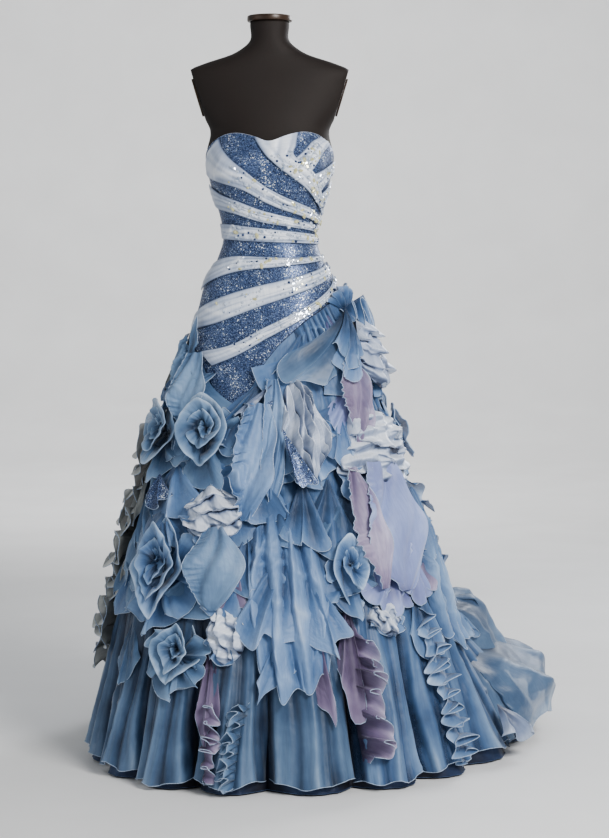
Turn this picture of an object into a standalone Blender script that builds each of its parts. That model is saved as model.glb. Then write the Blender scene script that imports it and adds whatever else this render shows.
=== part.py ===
"""Strapless ballroom gown on a limbless dress form.

The gown faces -Y, +X is the wearer's left and +Z is up.  The origin is on the floor, at the
middle of the stand's round foot.  Cloth places are given by a bearing, in degrees round the
body from the centre front towards +X, by a height above the floor, and by how far out the
point lies from the figure, the smooth surface that the bodice and the skirt both follow.
"""

import math
from collections import namedtuple

import bmesh
import bpy
import numpy as np
from mathutils.bvhtree import BVHTree

# ---------------------------------------------------------------- driving dimensions
# Lengths are in metres.  A name ending in OUT is a distance out from the figure.
SEAM_GAP = 0.0005
SEAT_GAP = 0.0005
CLOTH = 0.0016
TRIM = 0.0014

FORM_OUT = -0.0050
FORM_BUST_EASE = 0.15
FORM_HIP_HEIGHT = 0.985
FORM_HIP_TAPER = 0.22
TORSO_FOOT = 0.862
NECK_TOP = 1.640
ARM_CUT_FROM = 1.400
ARM_CUT_HALF_WIDTH = 0.136
ARM_CUT_LEAN = 0.30
PLATE_HALF_DEPTH = 0.026
PLATE_HALF_HEIGHT = 0.044
PLATE_THICKNESS = 0.004
PLATE_DEPTH_AT = 0.004
PLATE_HEIGHT_AT = 1.474
CAP_RADIUS = 0.050
CAP_THICKNESS = 0.013
POLE_RADIUS = 0.016
COLLAR_RADIUS = 0.046
FOOT_RADIUS = 0.190
FOOT_THICKNESS = 0.020

SHELL_OUT = -0.0034
LAID_OUT = 0.0
PLACKET_HALF_DEG = 7.0
WAIST_ROWS = (1.085, 1.110, 1.135, 1.155, 1.175, 1.200, 1.235)
COLUMN_DEG = 5.625
EDGE_DEG = 0.08

SKIRT_OUT = -0.0034
HEM_HEIGHT = 0.0040
SKIRT_ROWS = (HEM_HEIGHT, 0.030, 0.070, 0.120, 0.220, 0.320, 0.420, 0.520, 0.620, 0.720)
GORES = 8
FLUTES_PER_GORE = 2
FLUTE_DEPTH = 0.055
FLUTE_START = 0.420

SQUARENESS = 2.15
BUST_HEIGHT = 1.305
BUST_BEARING = 33.0
BUST_REACH = 0.020
BUST_SPREAD_DEG = 22.0
BUST_SPREAD_UP = 0.050
TRAIN_BEARING = 121.0
TRAIN_SPREAD_DEG = 33.0
TRAIN_REACH = 0.205
TRAIN_START = 0.320

# Half widths to -X and +X, and depths to the front and the back, at each height.
Section = namedtuple("Section", "height minus_x plus_x front back")
FIGURE = [
    Section(0.000, 0.404, 0.486, 0.448, 0.800),
    Section(0.050, 0.392, 0.466, 0.434, 0.710),
    Section(0.120, 0.378, 0.444, 0.416, 0.610),
    Section(0.220, 0.356, 0.412, 0.386, 0.508),
    Section(0.320, 0.334, 0.382, 0.352, 0.428),
    Section(0.420, 0.312, 0.354, 0.316, 0.362),
    Section(0.520, 0.288, 0.324, 0.276, 0.304),
    Section(0.620, 0.262, 0.292, 0.236, 0.254),
    Section(0.720, 0.236, 0.260, 0.196, 0.212),
    Section(0.820, 0.210, 0.228, 0.160, 0.176),
    Section(0.900, 0.190, 0.200, 0.134, 0.150),
    Section(0.960, 0.175, 0.180, 0.116, 0.134),
    Section(1.010, 0.161, 0.163, 0.106, 0.122),
    Section(1.062, 0.147, 0.147, 0.098, 0.108),
    Section(1.116, 0.119, 0.119, 0.088, 0.086),
    Section(1.161, 0.106, 0.106, 0.082, 0.074),
    Section(1.206, 0.1125, 0.1125, 0.090, 0.080),
    Section(1.260, 0.129, 0.129, 0.102, 0.092),
    Section(1.310, 0.141, 0.141, 0.108, 0.099),
    Section(1.350, 0.146, 0.146, 0.104, 0.100),
    Section(1.400, 0.138, 0.138, 0.092, 0.098),
    Section(1.450, 0.163, 0.163, 0.078, 0.096),
    Section(1.500, 0.181, 0.181, 0.064, 0.088),
    Section(1.532, 0.186, 0.186, 0.054, 0.074),
    Section(1.550, 0.142, 0.142, 0.050, 0.066),
    Section(1.566, 0.092, 0.092, 0.048, 0.058),
    Section(1.585, 0.060, 0.060, 0.048, 0.050),
    Section(1.640, 0.048, 0.048, 0.048, 0.048),
]
SECTIONS = np.array(FIGURE)

# The top edge of the bodice and the seam between bodice and skirt, all the way round.
EdgePoint = namedtuple("EdgePoint", "bearing height")
NECKLINE = [
    EdgePoint(-180, 1.272), EdgePoint(-130, 1.280), EdgePoint(-100, 1.300), EdgePoint(-88, 1.330),
    EdgePoint(-74, 1.356), EdgePoint(-62, 1.372), EdgePoint(-48, 1.384), EdgePoint(-27, 1.389),
    EdgePoint(-12, 1.381), EdgePoint(0, 1.370), EdgePoint(12, 1.381), EdgePoint(27, 1.391),
    EdgePoint(48, 1.388), EdgePoint(66, 1.372), EdgePoint(80, 1.350), EdgePoint(92, 1.326),
    EdgePoint(104, 1.300), EdgePoint(130, 1.280), EdgePoint(180, 1.272),
]
SEAM = [
    EdgePoint(-180, 1.010), EdgePoint(-130, 0.985), EdgePoint(-90, 0.962), EdgePoint(-68, 0.928),
    EdgePoint(-54, 0.900), EdgePoint(-43, 0.868), EdgePoint(-34, 0.830), EdgePoint(-26, 0.802),
    EdgePoint(-17, 0.806), EdgePoint(-9, 0.838), EdgePoint(-3, 0.882), EdgePoint(4, 0.920),
    EdgePoint(12, 0.946), EdgePoint(24, 0.975), EdgePoint(40, 1.000), EdgePoint(60, 1.024),
    EdgePoint(90, 1.050), EdgePoint(130, 1.040), EdgePoint(180, 1.010),
]

# A pale band lies between two edges, each through the same number of (bearing, height) points,
# from its outer end to where the bands draw together at the wearer's left side.
Band = namedtuple("Band", "name across along upper lower")
BANDS = [
    Band("band_left_cup", 5, 22,
         ((-50, 1.379), (-24, 1.318), (10, 1.254), (84, 1.203)),
         ((-86, 1.298), (-31, 1.270), (12, 1.221), (80, 1.190))),
    Band("band_under_bust", 2, 14,
         ((-88, 1.282), (-40, 1.247), (6, 1.212), (76, 1.186)),
         ((-88, 1.229), (-44, 1.214), (4, 1.189), (74, 1.173))),
    Band("band_above_waist", 2, 14,
         ((-88, 1.194), (-42, 1.189), (6, 1.178), (78, 1.167)),
         ((-88, 1.160), (-36, 1.153), (22, 1.148), (82, 1.146))),
    Band("band_waist", 2, 14,
         ((-88, 1.106), (-38, 1.120), (18, 1.116), (84, 1.122)),
         ((-88, 1.043), (-40, 1.080), (12, 1.096), (82, 1.113))),
    Band("band_high_hip", 2, 14,
         ((-88, 0.990), (-44, 1.028), (14, 1.069), (84, 1.107)),
         ((-80, 0.952), (-38, 0.974), (14, 1.029), (84, 1.086))),
    Band("band_low_hip", 2, 14,
         ((-52, 0.910), (-24, 0.927), (12, 0.987), (84, 1.081)),
         ((-38, 0.878), (-16, 0.908), (14, 0.966), (80, 1.060))),
    Band("band_centre_cup", 4, 22,
         ((24, 1.384), (21, 1.360), (20, 1.338), (36, 1.303), (57, 1.262), (82, 1.219)),
         ((-8, 1.360), (-4, 1.346), (1, 1.327), (13, 1.300), (42, 1.254), (80, 1.211))),
    Band("band_right_cup", 2, 10,
         ((67, 1.366), (53, 1.350), (44, 1.334), (37, 1.308)),
         ((51, 1.382), (38, 1.370), (31, 1.357), (23, 1.338))),
    Band("band_right_side", 2, 10,
         ((88, 1.303), (76, 1.294), (67, 1.286), (59, 1.266)),
         ((88, 1.333), (74, 1.327), (60, 1.318), (39, 1.304))),
    Band("band_underarm", 2, 10,
         ((89, 1.289), (76, 1.274), (62, 1.260)),
         ((89, 1.226), (78, 1.237), (64, 1.255))),
]

# A rosette is a strip wound into a spiral, its inner edge sewn down and its lip standing out.
# point is 2 for a round spiral and less for a lozenge; tilt turns it on the skirt, in degrees.
Rosette = namedtuple("Rosette", "name bearing height half_width half_height lip turns point tilt cloth")
ROSETTES = [
    Rosette("rose_left_bud", -69, 0.725, 0.076, 0.094, 0.052, 2.2, 1.5, 8, "organza"),
    Rosette("rose_left_front", -33, 0.722, 0.070, 0.100, 0.054, 2.3, 1.6, 8, "organza"),
    Rosette("rose_satin_left", -23, 0.560, 0.066, 0.060, 0.044, 2.0, 1.7, 4, "satin"),
    Rosette("rose_left_large", -43, 0.432, 0.084, 0.125, 0.056, 2.5, 1.25, 4, "organza"),
    Rosette("rose_left_low", -31, 0.271, 0.060, 0.079, 0.048, 2.1, 1.3, -6, "organza"),
    Rosette("rose_satin_low", -13, 0.320, 0.042, 0.062, 0.040, 2.0, 1.5, 8, "satin"),
    Rosette("rose_centre_long", -6, 0.668, 0.046, 0.124, 0.046, 2.1, 1.6, -6, "organza"),
    Rosette("rose_satin_fan", 15, 0.736, 0.047, 0.112, 0.044, 2.2, 1.5, 5, "satin"),
    Rosette("rose_satin_right", 58, 0.692, 0.112, 0.098, 0.050, 2.4, 1.35, 24, "satin"),
    Rosette("rose_satin_hip", 84, 0.888, 0.070, 0.086, 0.044, 2.1, 1.6, 20, "satin"),
    Rosette("rose_satin_tip", 39, 0.345, 0.041, 0.038, 0.034, 1.6, 1.4, 0, "satin"),
    Rosette("rose_centre_folds", 27.5, 0.441, 0.046, 0.086, 0.050, 2.1, 1.8, 0, "organza"),
    Rosette("rose_right_side", 98, 0.706, 0.058, 0.086, 0.050, 2.0, 1.5, -6, "organza"),
    Rosette("rose_back_left", 128, 0.770, 0.080, 0.096, 0.052, 2.2, 1.5, -12, "organza"),
    Rosette("rose_back_low", 160, 0.500, 0.088, 0.118, 0.054, 2.3, 1.4, 10, "organza"),
    Rosette("rose_back_right", 216, 0.760, 0.080, 0.096, 0.052, 2.2, 1.6, 12, "satin"),
    Rosette("rose_back_side", 240, 0.500, 0.084, 0.116, 0.054, 2.2, 1.4, -8, "organza"),
]

# A drape is a loose sheet caught along its top edge.  Bearings are of its two sides at the top
# and at the foot, heights of the two top corners and of the foot, and dip lowers the foot's middle.
Drape = namedtuple(
    "Drape", "name cloth top_from top_to foot_from foot_to top_start top_end foot dip folds lift"
)
DRAPES = [
    Drape("drape_left_hip", "organza", -90, -44, -88, -38, 0.948, 0.862, 0.826, 0.000, 4, 0.028),
    Drape("drape_right_hip", "organza", 8, 60, 30, 62, 0.926, 1.010, 0.826, 0.000, 4, 0.032),
    Drape("drape_left_front", "organza", -27, -12, -25, -12, 0.480, 0.480, 0.388, 0.010, 2, 0.030),
    Drape("drape_centre", "organza", -10, 17, -2, 17, 0.515, 0.605, 0.270, 0.070, 4, 0.044),
    Drape("drape_right_front", "rose", 38, 66, 38, 52, 0.582, 0.582, 0.394, 0.000, 2, 0.036),
    Drape("drape_right_side", "organza", 69, 100, 71, 101, 0.585, 0.585, 0.280, 0.030, 4, 0.044),
]

# A ruffle is a strip gathered along a line and free along the other edge, which swings from
# side to side.  The line runs through three points; droop lets the free edge hang.
Ruffle = namedtuple("Ruffle", "name cloth start middle end width waves swing droop")
RUFFLES = [
    Ruffle("ruffle_right_hip", "organza",
           (64, 1.000), (82, 1.004), (112, 1.008), 0.050, 3, 0.70, 0.10),
    Ruffle("ruffle_left_edge", "taupe",
           (-99, 0.780), (-96, 0.480), (-92, 0.190), 0.056, 9, 0.85, 0.30),
    Ruffle("ruffle_rose_left", "rose",
           (-19, 0.205), (-19, 0.115), (-18, 0.020), 0.040, 4, 0.70, 0.10),
    Ruffle("ruffle_rose_right", "rose",
           (26, 0.335), (24, 0.220), (25, 0.060), 0.060, 4, 0.75, 0.20),
    Ruffle("ruffle_centre_low", "organza",
           (-4, 0.190), (-7, 0.100), (-8, 0.014), 0.044, 4, 0.75, 0.10),
    Ruffle("ruffle_right_low", "organza",
           (59, 0.370), (61, 0.190), (59, 0.020), 0.056, 6, 0.80, 0.15),
    Ruffle("ruffle_back", "organza",
           (190, 0.930), (186, 0.640), (196, 0.300), 0.060, 8, 0.80, 0.25),
    Ruffle("ruffle_back_left", "organza",
           (159, 0.940), (155, 0.800), (150, 0.660), 0.050, 4, 0.80, 0.25),
    Ruffle("ruffle_train_upper", "organza",
           (101, 0.215), (124, 0.205), (156, 0.180), 0.090, 5, 0.50, 0.30),
    Ruffle("ruffle_train_lower", "organza",
           (84, 0.075), (120, 0.090), (162, 0.080), 0.090, 7, 0.55, 0.30),
]

# Colours are linear RGB, then roughness and metallic.
Finish = namedtuple("Finish", "red green blue roughness metallic")
FINISHES = {
    "form": Finish(0.030, 0.017, 0.013, 0.55, 0.0),
    "wood": Finish(0.085, 0.045, 0.025, 0.40, 0.0),
    "glitter": Finish(0.045, 0.090, 0.260, 0.40, 0.2),
    "satin": Finish(0.640, 0.690, 0.760, 0.38, 0.0),
    "organza": Finish(0.260, 0.420, 0.640, 0.60, 0.0),
    "rose": Finish(0.420, 0.330, 0.480, 0.62, 0.0),
    "taupe": Finish(0.330, 0.350, 0.340, 0.62, 0.0),
}


# ---------------------------------------------------------------- the figure
def eased(x):
    """A smooth step from 0 to 1."""
    x = np.clip(x, 0.0, 1.0)
    return x * x * (3.0 - 2.0 * x)


def through(knots, values, at):
    """A smooth curve through values at increasing knots."""
    at = np.clip(at, knots[0], knots[-1])
    index = np.clip(np.searchsorted(knots, at, side="right") - 1, 0, len(knots) - 2)
    slope = np.gradient(values, knots)
    span = knots[index + 1] - knots[index]
    t = (at - knots[index]) / span
    return (
        (2 * t**3 - 3 * t**2 + 1) * values[index]
        + (t**3 - 2 * t**2 + t) * span * slope[index]
        + (-2 * t**3 + 3 * t**2) * values[index + 1]
        + (t**3 - t**2) * span * slope[index + 1]
    )


def bust(bearing, height):
    """How far the two cups stand out."""
    wrapped = (bearing + 180.0) % 360.0 - 180.0
    rise = ((height - BUST_HEIGHT) / BUST_SPREAD_UP) ** 2
    return sum(
        BUST_REACH * np.exp(-(((wrapped - side) / BUST_SPREAD_DEG) ** 2) - rise)
        for side in (-BUST_BEARING, BUST_BEARING)
    )


def train(bearing, height):
    """How far the train stands out behind the wearer's left hip."""
    off = ((bearing % 360.0) - TRAIN_BEARING) / TRAIN_SPREAD_DEG
    return TRAIN_REACH * eased((TRAIN_START - height) / TRAIN_START) ** 0.7 * np.exp(-(off**2))


def flute(bearing, height):
    """How far the skirt's folds fall in: round crests and narrow valleys, deepest at the hem."""
    turn = np.radians(bearing) * GORES * FLUTES_PER_GORE / 2
    fall = 1.0 - np.abs(np.sin(turn)) ** 0.8
    return FLUTE_DEPTH * fall * eased((FLUTE_START - height) / FLUTE_START)


def ring(bearing, height, fluted):
    """Points on the smooth figure, with the skirt's folds if fluted."""
    turn = np.radians(bearing)
    sine, cosine = np.sin(turn), np.cos(turn)
    minus_x, plus_x, front, back = (
        through(SECTIONS[:, 0], SECTIONS[:, column], height) for column in range(1, 5)
    )
    across = np.where(sine < 0, minus_x, plus_x)
    deep = np.where(cosine > 0, front, back)
    x = across * np.sign(sine) * np.abs(sine) ** (2 / SQUARENESS)
    y = -deep * np.sign(cosine) * np.abs(cosine) ** (2 / SQUARENESS)
    reach = bust(bearing, height) + train(bearing, height) - fluted * flute(bearing, height)
    return np.stack([x + reach * sine, y - reach * cosine, height + 0.0 * x], axis=-1)


def bare_figure(bearing, height, fluted):
    """Points on the figure; the skirt is straight between its rows."""
    rows = np.array(SKIRT_ROWS)
    low_row = np.clip(np.searchsorted(rows, height, side="right") - 1, 0, len(rows) - 2)
    low, high = rows[low_row], rows[low_row + 1]
    straight = height < rows[-1]
    low, high = np.where(straight, low, height), np.where(straight, high, height)
    share = np.where(straight, (height - low) / np.where(straight, high - low, 1.0), 0.0)
    below, above = ring(bearing, low, fluted), ring(bearing, high, fluted)
    return below + (above - below) * share[..., None]


def figure(bearing, height, out=0.0, fluted=1.0):
    """Points at a distance out from the figure, square to it."""
    bearing, height, out = np.broadcast_arrays(
        np.asarray(bearing, float), np.asarray(height, float), np.asarray(out, float)
    )
    step_deg, step_up = 0.5, 0.002
    around = (
        bare_figure(bearing + step_deg, height, fluted)
        - bare_figure(bearing - step_deg, height, fluted)
    )
    upward = (
        bare_figure(bearing, height + step_up, fluted)
        - bare_figure(bearing, height - step_up, fluted)
    )
    normal = np.cross(around, upward)
    normal /= np.linalg.norm(normal, axis=-1, keepdims=True)
    return bare_figure(bearing, height, fluted) + normal * out[..., None]


def edge_height(edge, bearing):
    """The height of an edge of the cloth at a bearing."""
    wrapped = (np.asarray(bearing, float) + 180.0) % 360.0 - 180.0
    points = np.array(edge, float)
    return through(points[:, 0], points[:, 1], wrapped)


class Patch:
    """Local measures on the figure: across and up in metres from a place, and out from it."""

    def __init__(self, bearing, height, tilt=0.0):
        self.bearing, self.height, self.tilt = bearing, height, math.radians(tilt)
        here = figure(bearing, height, fluted=0.0)
        beside = figure(bearing + 1.0, height, fluted=0.0)
        above = figure(bearing, height + 0.01, fluted=0.0)
        self.across_per_deg = np.linalg.norm(beside - here)
        self.up_per_metre = np.linalg.norm(above - here) / 0.01

    def place(self, across, up, out, fluted=1.0):
        cosine, sine = math.cos(self.tilt), math.sin(self.tilt)
        turned_across = across * cosine - up * sine
        turned_up = across * sine + up * cosine
        return figure(
            self.bearing + turned_across / self.across_per_deg,
            self.height + turned_up / self.up_per_metre,
            out,
            fluted,
        )


# ---------------------------------------------------------------- meshes
def clear_scene():
    for obj in list(bpy.data.objects):
        bpy.data.objects.remove(obj)


def finish(name):
    """The material of a kind of cloth, wood or skin."""
    made = bpy.data.materials.get(name)
    if made is None:
        row = FINISHES[name]
        made = bpy.data.materials.new(name)
        made.use_nodes = True
        shader = made.node_tree.nodes["Principled BSDF"]
        shader.inputs["Base Color"].default_value = (row.red, row.green, row.blue, 1.0)
        shader.inputs["Roughness"].default_value = row.roughness
        shader.inputs["Metallic"].default_value = row.metallic
    return made


def solid(name, points, faces, cloth):
    """One closed body from points and faces, facing out, shaded smooth."""
    mesh = bpy.data.meshes.new(name)
    mesh.from_pydata([tuple(p) for p in points], [], faces)
    mesh.materials.append(finish(cloth))
    shape = bmesh.new()
    shape.from_mesh(mesh)
    bmesh.ops.recalc_face_normals(shape, faces=shape.faces)
    if shape.calc_volume(signed=True) < 0:
        bmesh.ops.reverse_faces(shape, faces=shape.faces)
    shape.to_mesh(mesh)
    shape.free()
    mesh.shade_smooth()
    mesh.set_sharp_from_angle(angle=math.radians(50))
    obj = bpy.data.objects.new(name, mesh)
    bpy.context.scene.collection.objects.link(obj)
    return obj


def wall(name, inner, outer, cloth):
    """A sheet with thickness, between two grids of points of the same size.

    Both sides split each square along the same diagonal, so that a twisted square stays sound.
    """
    rows, columns = inner.shape[:2]
    count = rows * columns
    points = np.concatenate([inner.reshape(-1, 3), outer.reshape(-1, 3)])
    middle = (inner + outer).reshape(-1, 3) / 2
    index = np.arange(count).reshape(rows, columns)
    faces = []
    for row in range(rows - 1):
        for column in range(columns - 1):
            a, b = index[row, column], index[row, column + 1]
            c, d = index[row + 1, column + 1], index[row + 1, column]
            one = np.linalg.norm(middle[a] - middle[c])
            other = np.linalg.norm(middle[b] - middle[d])
            halves = [(a, b, c), (a, c, d)] if one <= other else [(a, b, d), (b, c, d)]
            for half in halves:
                faces.append(half[::-1])
                faces.append([corner + count for corner in half])
    rim = np.concatenate([index[0, :-1], index[:-1, -1], index[-1, :0:-1], index[:0:-1, 0]])
    for here, there in zip(rim, np.roll(rim, -1)):
        faces.append([here, there, there + count, here + count])
    return solid(name, points, faces, cloth)


def sheet_normals(grid):
    """The direction square to a grid of points, at each point."""
    down, along = np.gradient(grid, axis=0), np.gradient(grid, axis=1)
    normal = np.cross(down, along)
    return normal / np.maximum(np.linalg.norm(normal, axis=-1, keepdims=True), 1e-12)


def outside_of(walls):
    """The outer sides of some walls, to seat trim on."""
    points, faces = [], []
    for obj in walls:
        start, count = len(points), len(obj.data.vertices) // 2
        points += [obj.matrix_world @ vertex.co for vertex in obj.data.vertices]
        for face in obj.data.polygons:
            if min(face.vertices) >= count:
                faces.append([start + corner for corner in face.vertices])
    return BVHTree.FromPolygons(points, faces)


def finer(grid, axis, times):
    """A grid with more points along one axis, on the straight lines between its own."""
    count = grid.shape[axis]
    at = np.linspace(0, count - 1, (count - 1) * times + 1)
    low = np.clip(at.astype(int), 0, count - 2)
    share = np.moveaxis((at - low)[:, None, None], 0, axis) if axis else (at - low)[:, None, None]
    below, above = np.take(grid, low, axis), np.take(grid, low + 1, axis)
    return below + (above - below) * share


def clearance(grid, surface):
    """The least distance from a sheet to a surface, below zero where the sheet is behind it."""
    least = 1.0
    for point in finer(finer(grid, 1, 5), 0, 3).reshape(-1, 3):
        place, normal, _, distance = surface.find_nearest(tuple(point))
        facing = sum((p - q) * n for p, q, n in zip(point, place, normal))
        least = min(least, -distance if facing < -0.5 * distance else distance)
    return least


def seat(name, make, surface, cloth):
    """Make a sheet, with its nearest point one seat gap out from the surface that carries it."""
    out = LAID_OUT
    for _ in range(3):
        inner, outer = make(out)
        nearest = min(clearance(inner, surface), clearance(outer, surface))
        out += SEAT_GAP - nearest
    return wall(name, *make(out), cloth)


def turned(name, profile, segments, cloth):
    """A solid of revolution about Z.  Its profile of (radius, height) starts and ends on the axis."""
    angles = np.linspace(0, 2 * math.pi, segments, endpoint=False)
    rings = profile[1:-1]
    points = [(0.0, 0.0, profile[0][1])]
    for radius, height in rings:
        points += [(radius * math.cos(a), radius * math.sin(a), height) for a in angles]
    points.append((0.0, 0.0, profile[-1][1]))
    last = len(points) - 1
    faces = []
    for k in range(segments):
        after = (k + 1) % segments
        faces.append([0, 1 + after, 1 + k])
        for ring in range(len(rings) - 1):
            low, high = 1 + ring * segments, 1 + (ring + 1) * segments
            faces.append([low + k, low + after, high + after, high + k])
        top = 1 + (len(rings) - 1) * segments
        faces.append([top + k, top + after, last])
    return solid(name, points, faces, cloth)


# ---------------------------------------------------------------- the dress form
def form_out(bearing, height):
    """The form lies close under the bodice, is a little flatter at the bust and draws in below."""
    taper = FORM_HIP_TAPER * np.maximum(0.0, FORM_HIP_HEIGHT - height)
    return FORM_OUT - FORM_BUST_EASE * bust(bearing, height) - taper


def arm_cut(height):
    """The half width at which the form is cut flat for the arm openings."""
    return ARM_CUT_HALF_WIDTH + ARM_CUT_LEAN * (height - ARM_CUT_FROM)


def dress_form():
    columns = 20
    heights = np.array(
        (TORSO_FOOT, 0.925, FORM_HIP_HEIGHT, 1.035) + WAIST_ROWS
        + (1.265, 1.295, 1.325, 1.360, 1.400, 1.440, 1.480, 1.512, 1.532, 1.542, 1.551, 1.560)
        + (1.572, 1.590, NECK_TOP)
    )
    bearings, tall = np.meshgrid(np.linspace(0, 360, columns, endpoint=False), heights)
    rings = figure(bearings, tall, form_out(bearings, tall))
    level = (tall >= ARM_CUT_FROM) | (tall == TORSO_FOOT)
    rings[level, 2] = tall[level]
    limit = np.where(tall > ARM_CUT_FROM, arm_cut(tall), 1.0)
    rings[..., 0] = np.clip(rings[..., 0], -limit, limit)
    points = np.concatenate([rings.reshape(-1, 3), [(0, 0, heights[0])], [(0, 0, heights[-1])]])
    foot, top = len(points) - 2, len(points) - 1
    faces = []
    for k in range(columns):
        after = (k + 1) % columns
        faces.append([foot, after, k])
        for row in range(len(heights) - 1):
            low, high = row * columns, (row + 1) * columns
            faces.append([low + k, low + after, high + after, high + k])
        last = (len(heights) - 1) * columns
        faces.append([last + k, last + after, top])
    solid("form_torso", points, faces, "form")
    arm_plate("form_arm_plate_left", 1.0)
    arm_plate("form_arm_plate_right", -1.0)
    base, top, bevel = NECK_TOP + SEAM_GAP, NECK_TOP + SEAM_GAP + CAP_THICKNESS, 0.003
    turned(
        "form_neck_cap",
        [(0, base), (CAP_RADIUS - bevel, base), (CAP_RADIUS, base + bevel),
         (CAP_RADIUS, top - bevel), (CAP_RADIUS - bevel, top), (0, top)],
        16, "wood",
    )
    plate, top, bevel = FOOT_THICKNESS, TORSO_FOOT - SEAM_GAP, 0.012
    turned(
        "form_stand",
        [(0, 0), (FOOT_RADIUS, 0), (FOOT_RADIUS, plate - bevel / 2), (FOOT_RADIUS - bevel, plate),
         (POLE_RADIUS * 2, plate + bevel / 2), (POLE_RADIUS, plate + bevel * 2),
         (POLE_RADIUS, top - bevel * 2), (COLLAR_RADIUS, top - bevel), (COLLAR_RADIUS, top), (0, top)],
        20, "wood",
    )


def arm_plate(name, side):
    """The oval plate on the flat cut at an arm opening."""
    depth, height = PLATE_DEPTH_AT, PLATE_HEIGHT_AT
    lean = math.hypot(1.0, ARM_CUT_LEAN)
    outward = np.array([side, 0.0, -ARM_CUT_LEAN]) / lean
    upward = np.array([side * ARM_CUT_LEAN, 0.0, 1.0]) / lean
    centre = np.array([side * float(arm_cut(height)), depth, height]) + outward * SEAM_GAP
    spokes = 14
    around = np.linspace(0, 2 * math.pi, spokes, endpoint=False)[:, None]
    rim = centre + np.array([0.0, PLATE_HALF_DEPTH, 0.0]) * np.cos(around)
    rim = rim + upward * PLATE_HALF_HEIGHT * np.sin(around)
    points = np.concatenate([rim, rim + outward * PLATE_THICKNESS])
    faces = [list(range(spokes)), list(range(2 * spokes - 1, spokes - 1, -1))]
    for k in range(spokes):
        after = (k + 1) % spokes
        faces.append([k, after, after + spokes, k + spokes])
    solid(name, points, faces, "wood")


# ---------------------------------------------------------------- the bodice
def bodice_panel(name, bearing_from, bearing_to, columns, rows_below, rows_above):
    """A fitted panel from the waist seam to the top edge."""
    bearings = np.linspace(bearing_from, bearing_to, columns + 1)[None, :]
    bearings[0, [0, -1]] += (EDGE_DEG, -EDGE_DEG)
    seam, top = edge_height(SEAM, bearings), edge_height(NECKLINE, bearings)
    below = np.linspace(0, 1, rows_below + 1)[:-1, None]
    above = np.linspace(0, 1, rows_above + 1)[1:, None]
    heights = np.concatenate([
        seam + (WAIST_ROWS[0] - seam) * below,
        np.array(WAIST_ROWS)[:, None] + 0.0 * bearings,
        WAIST_ROWS[-1] + (top - WAIST_ROWS[-1]) * above,
    ])
    return wall(
        name,
        figure(bearings, heights, SHELL_OUT),
        figure(bearings, heights, SHELL_OUT + CLOTH),
        "glitter",
    )


def laid(bearings, heights, out, fluted=1.0):
    """The two sides of a sheet laid on the figure."""
    return figure(bearings, heights, out, fluted), figure(bearings, heights, out + TRIM, fluted)


def band(row, bodice):
    """A pale band laid on the bodice front, between its two edges."""
    knots = np.linspace(0, 1, len(row.upper))
    share = np.linspace(0, 1, row.along + 1)
    edges = [
        [through(knots, np.array(edge, float)[:, axis], share) for axis in range(2)]
        for edge in (row.upper, row.lower)
    ]
    mix = np.linspace(0, 1, row.across + 1)[:, None]
    bearings = edges[0][0] * (1 - mix) + edges[1][0] * mix
    heights = edges[0][1] * (1 - mix) + edges[1][1] * mix
    low, high = edge_height(SEAM, bearings) + 0.002, edge_height(NECKLINE, bearings) - 0.001
    heights = np.clip(heights, low, high)
    seat(row.name, lambda out: laid(bearings, heights, out), bodice, "satin")


def back_placket(bodice):
    """The strip that laps over the centre-back opening and hides its hooks."""
    bearings = 180.0 + np.linspace(-1, 1, 5)[None, :] * PLACKET_HALF_DEG
    seam, top = edge_height(SEAM, bearings) + 0.003, edge_height(NECKLINE, bearings) - 0.002
    heights = np.concatenate([
        seam + (WAIST_ROWS[0] - seam) * np.linspace(0, 1, 4)[:-1, None],
        np.array(WAIST_ROWS)[:, None] + 0.0 * bearings,
        top,
    ])
    seat("back_placket", lambda out: laid(bearings, heights, out), bodice, "satin")


# ---------------------------------------------------------------- the skirt
def seam_drop(bearing):
    """How far below the seam line the skirt starts, so that a steep seam has the same gap."""
    arc_per_deg = 0.0025
    slope = (edge_height(SEAM, bearing + 0.5) - edge_height(SEAM, bearing - 0.5)) / arc_per_deg
    return SEAM_GAP * np.hypot(1.0, slope)


def gore(number):
    """One of the eight panels of the skirt, from the waist seam to the hem."""
    span = 360.0 / GORES
    columns = round(span / COLUMN_DEG)
    bearings = np.linspace(span * number, span * (number + 1), columns + 1)[None, :]
    bearings[0, [0, -1]] += (EDGE_DEG, -EDGE_DEG)
    top = edge_height(SEAM, bearings) - seam_drop(bearings)
    rows = np.array(SKIRT_ROWS)[:, None] + 0.0 * bearings
    share = np.linspace(0, 1, 4)[1:, None]
    heights = np.concatenate([rows, SKIRT_ROWS[-1] + (top - SKIRT_ROWS[-1]) * share])
    return wall(
        f"skirt_gore_{number + 1}",
        figure(bearings, heights, SKIRT_OUT),
        figure(bearings, heights, SKIRT_OUT + CLOTH),
        "organza",
    )


def lozenge(turn, point):
    """A closed curve of half width 1, round for point 2 and a lozenge for point 1."""
    radius = (np.abs(np.cos(turn)) ** point + np.abs(np.sin(turn)) ** point) ** (-1 / point)
    return radius * np.cos(turn), radius * np.sin(turn)


def strip(lines):
    """The two sides of a strip through its root and its lip, as thick at both."""
    grid = np.array(lines)
    half = sheet_normals(grid).mean(axis=0, keepdims=True)
    half *= TRIM / 2 / np.linalg.norm(half, axis=-1, keepdims=True)
    return grid - half, grid + half


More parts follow.
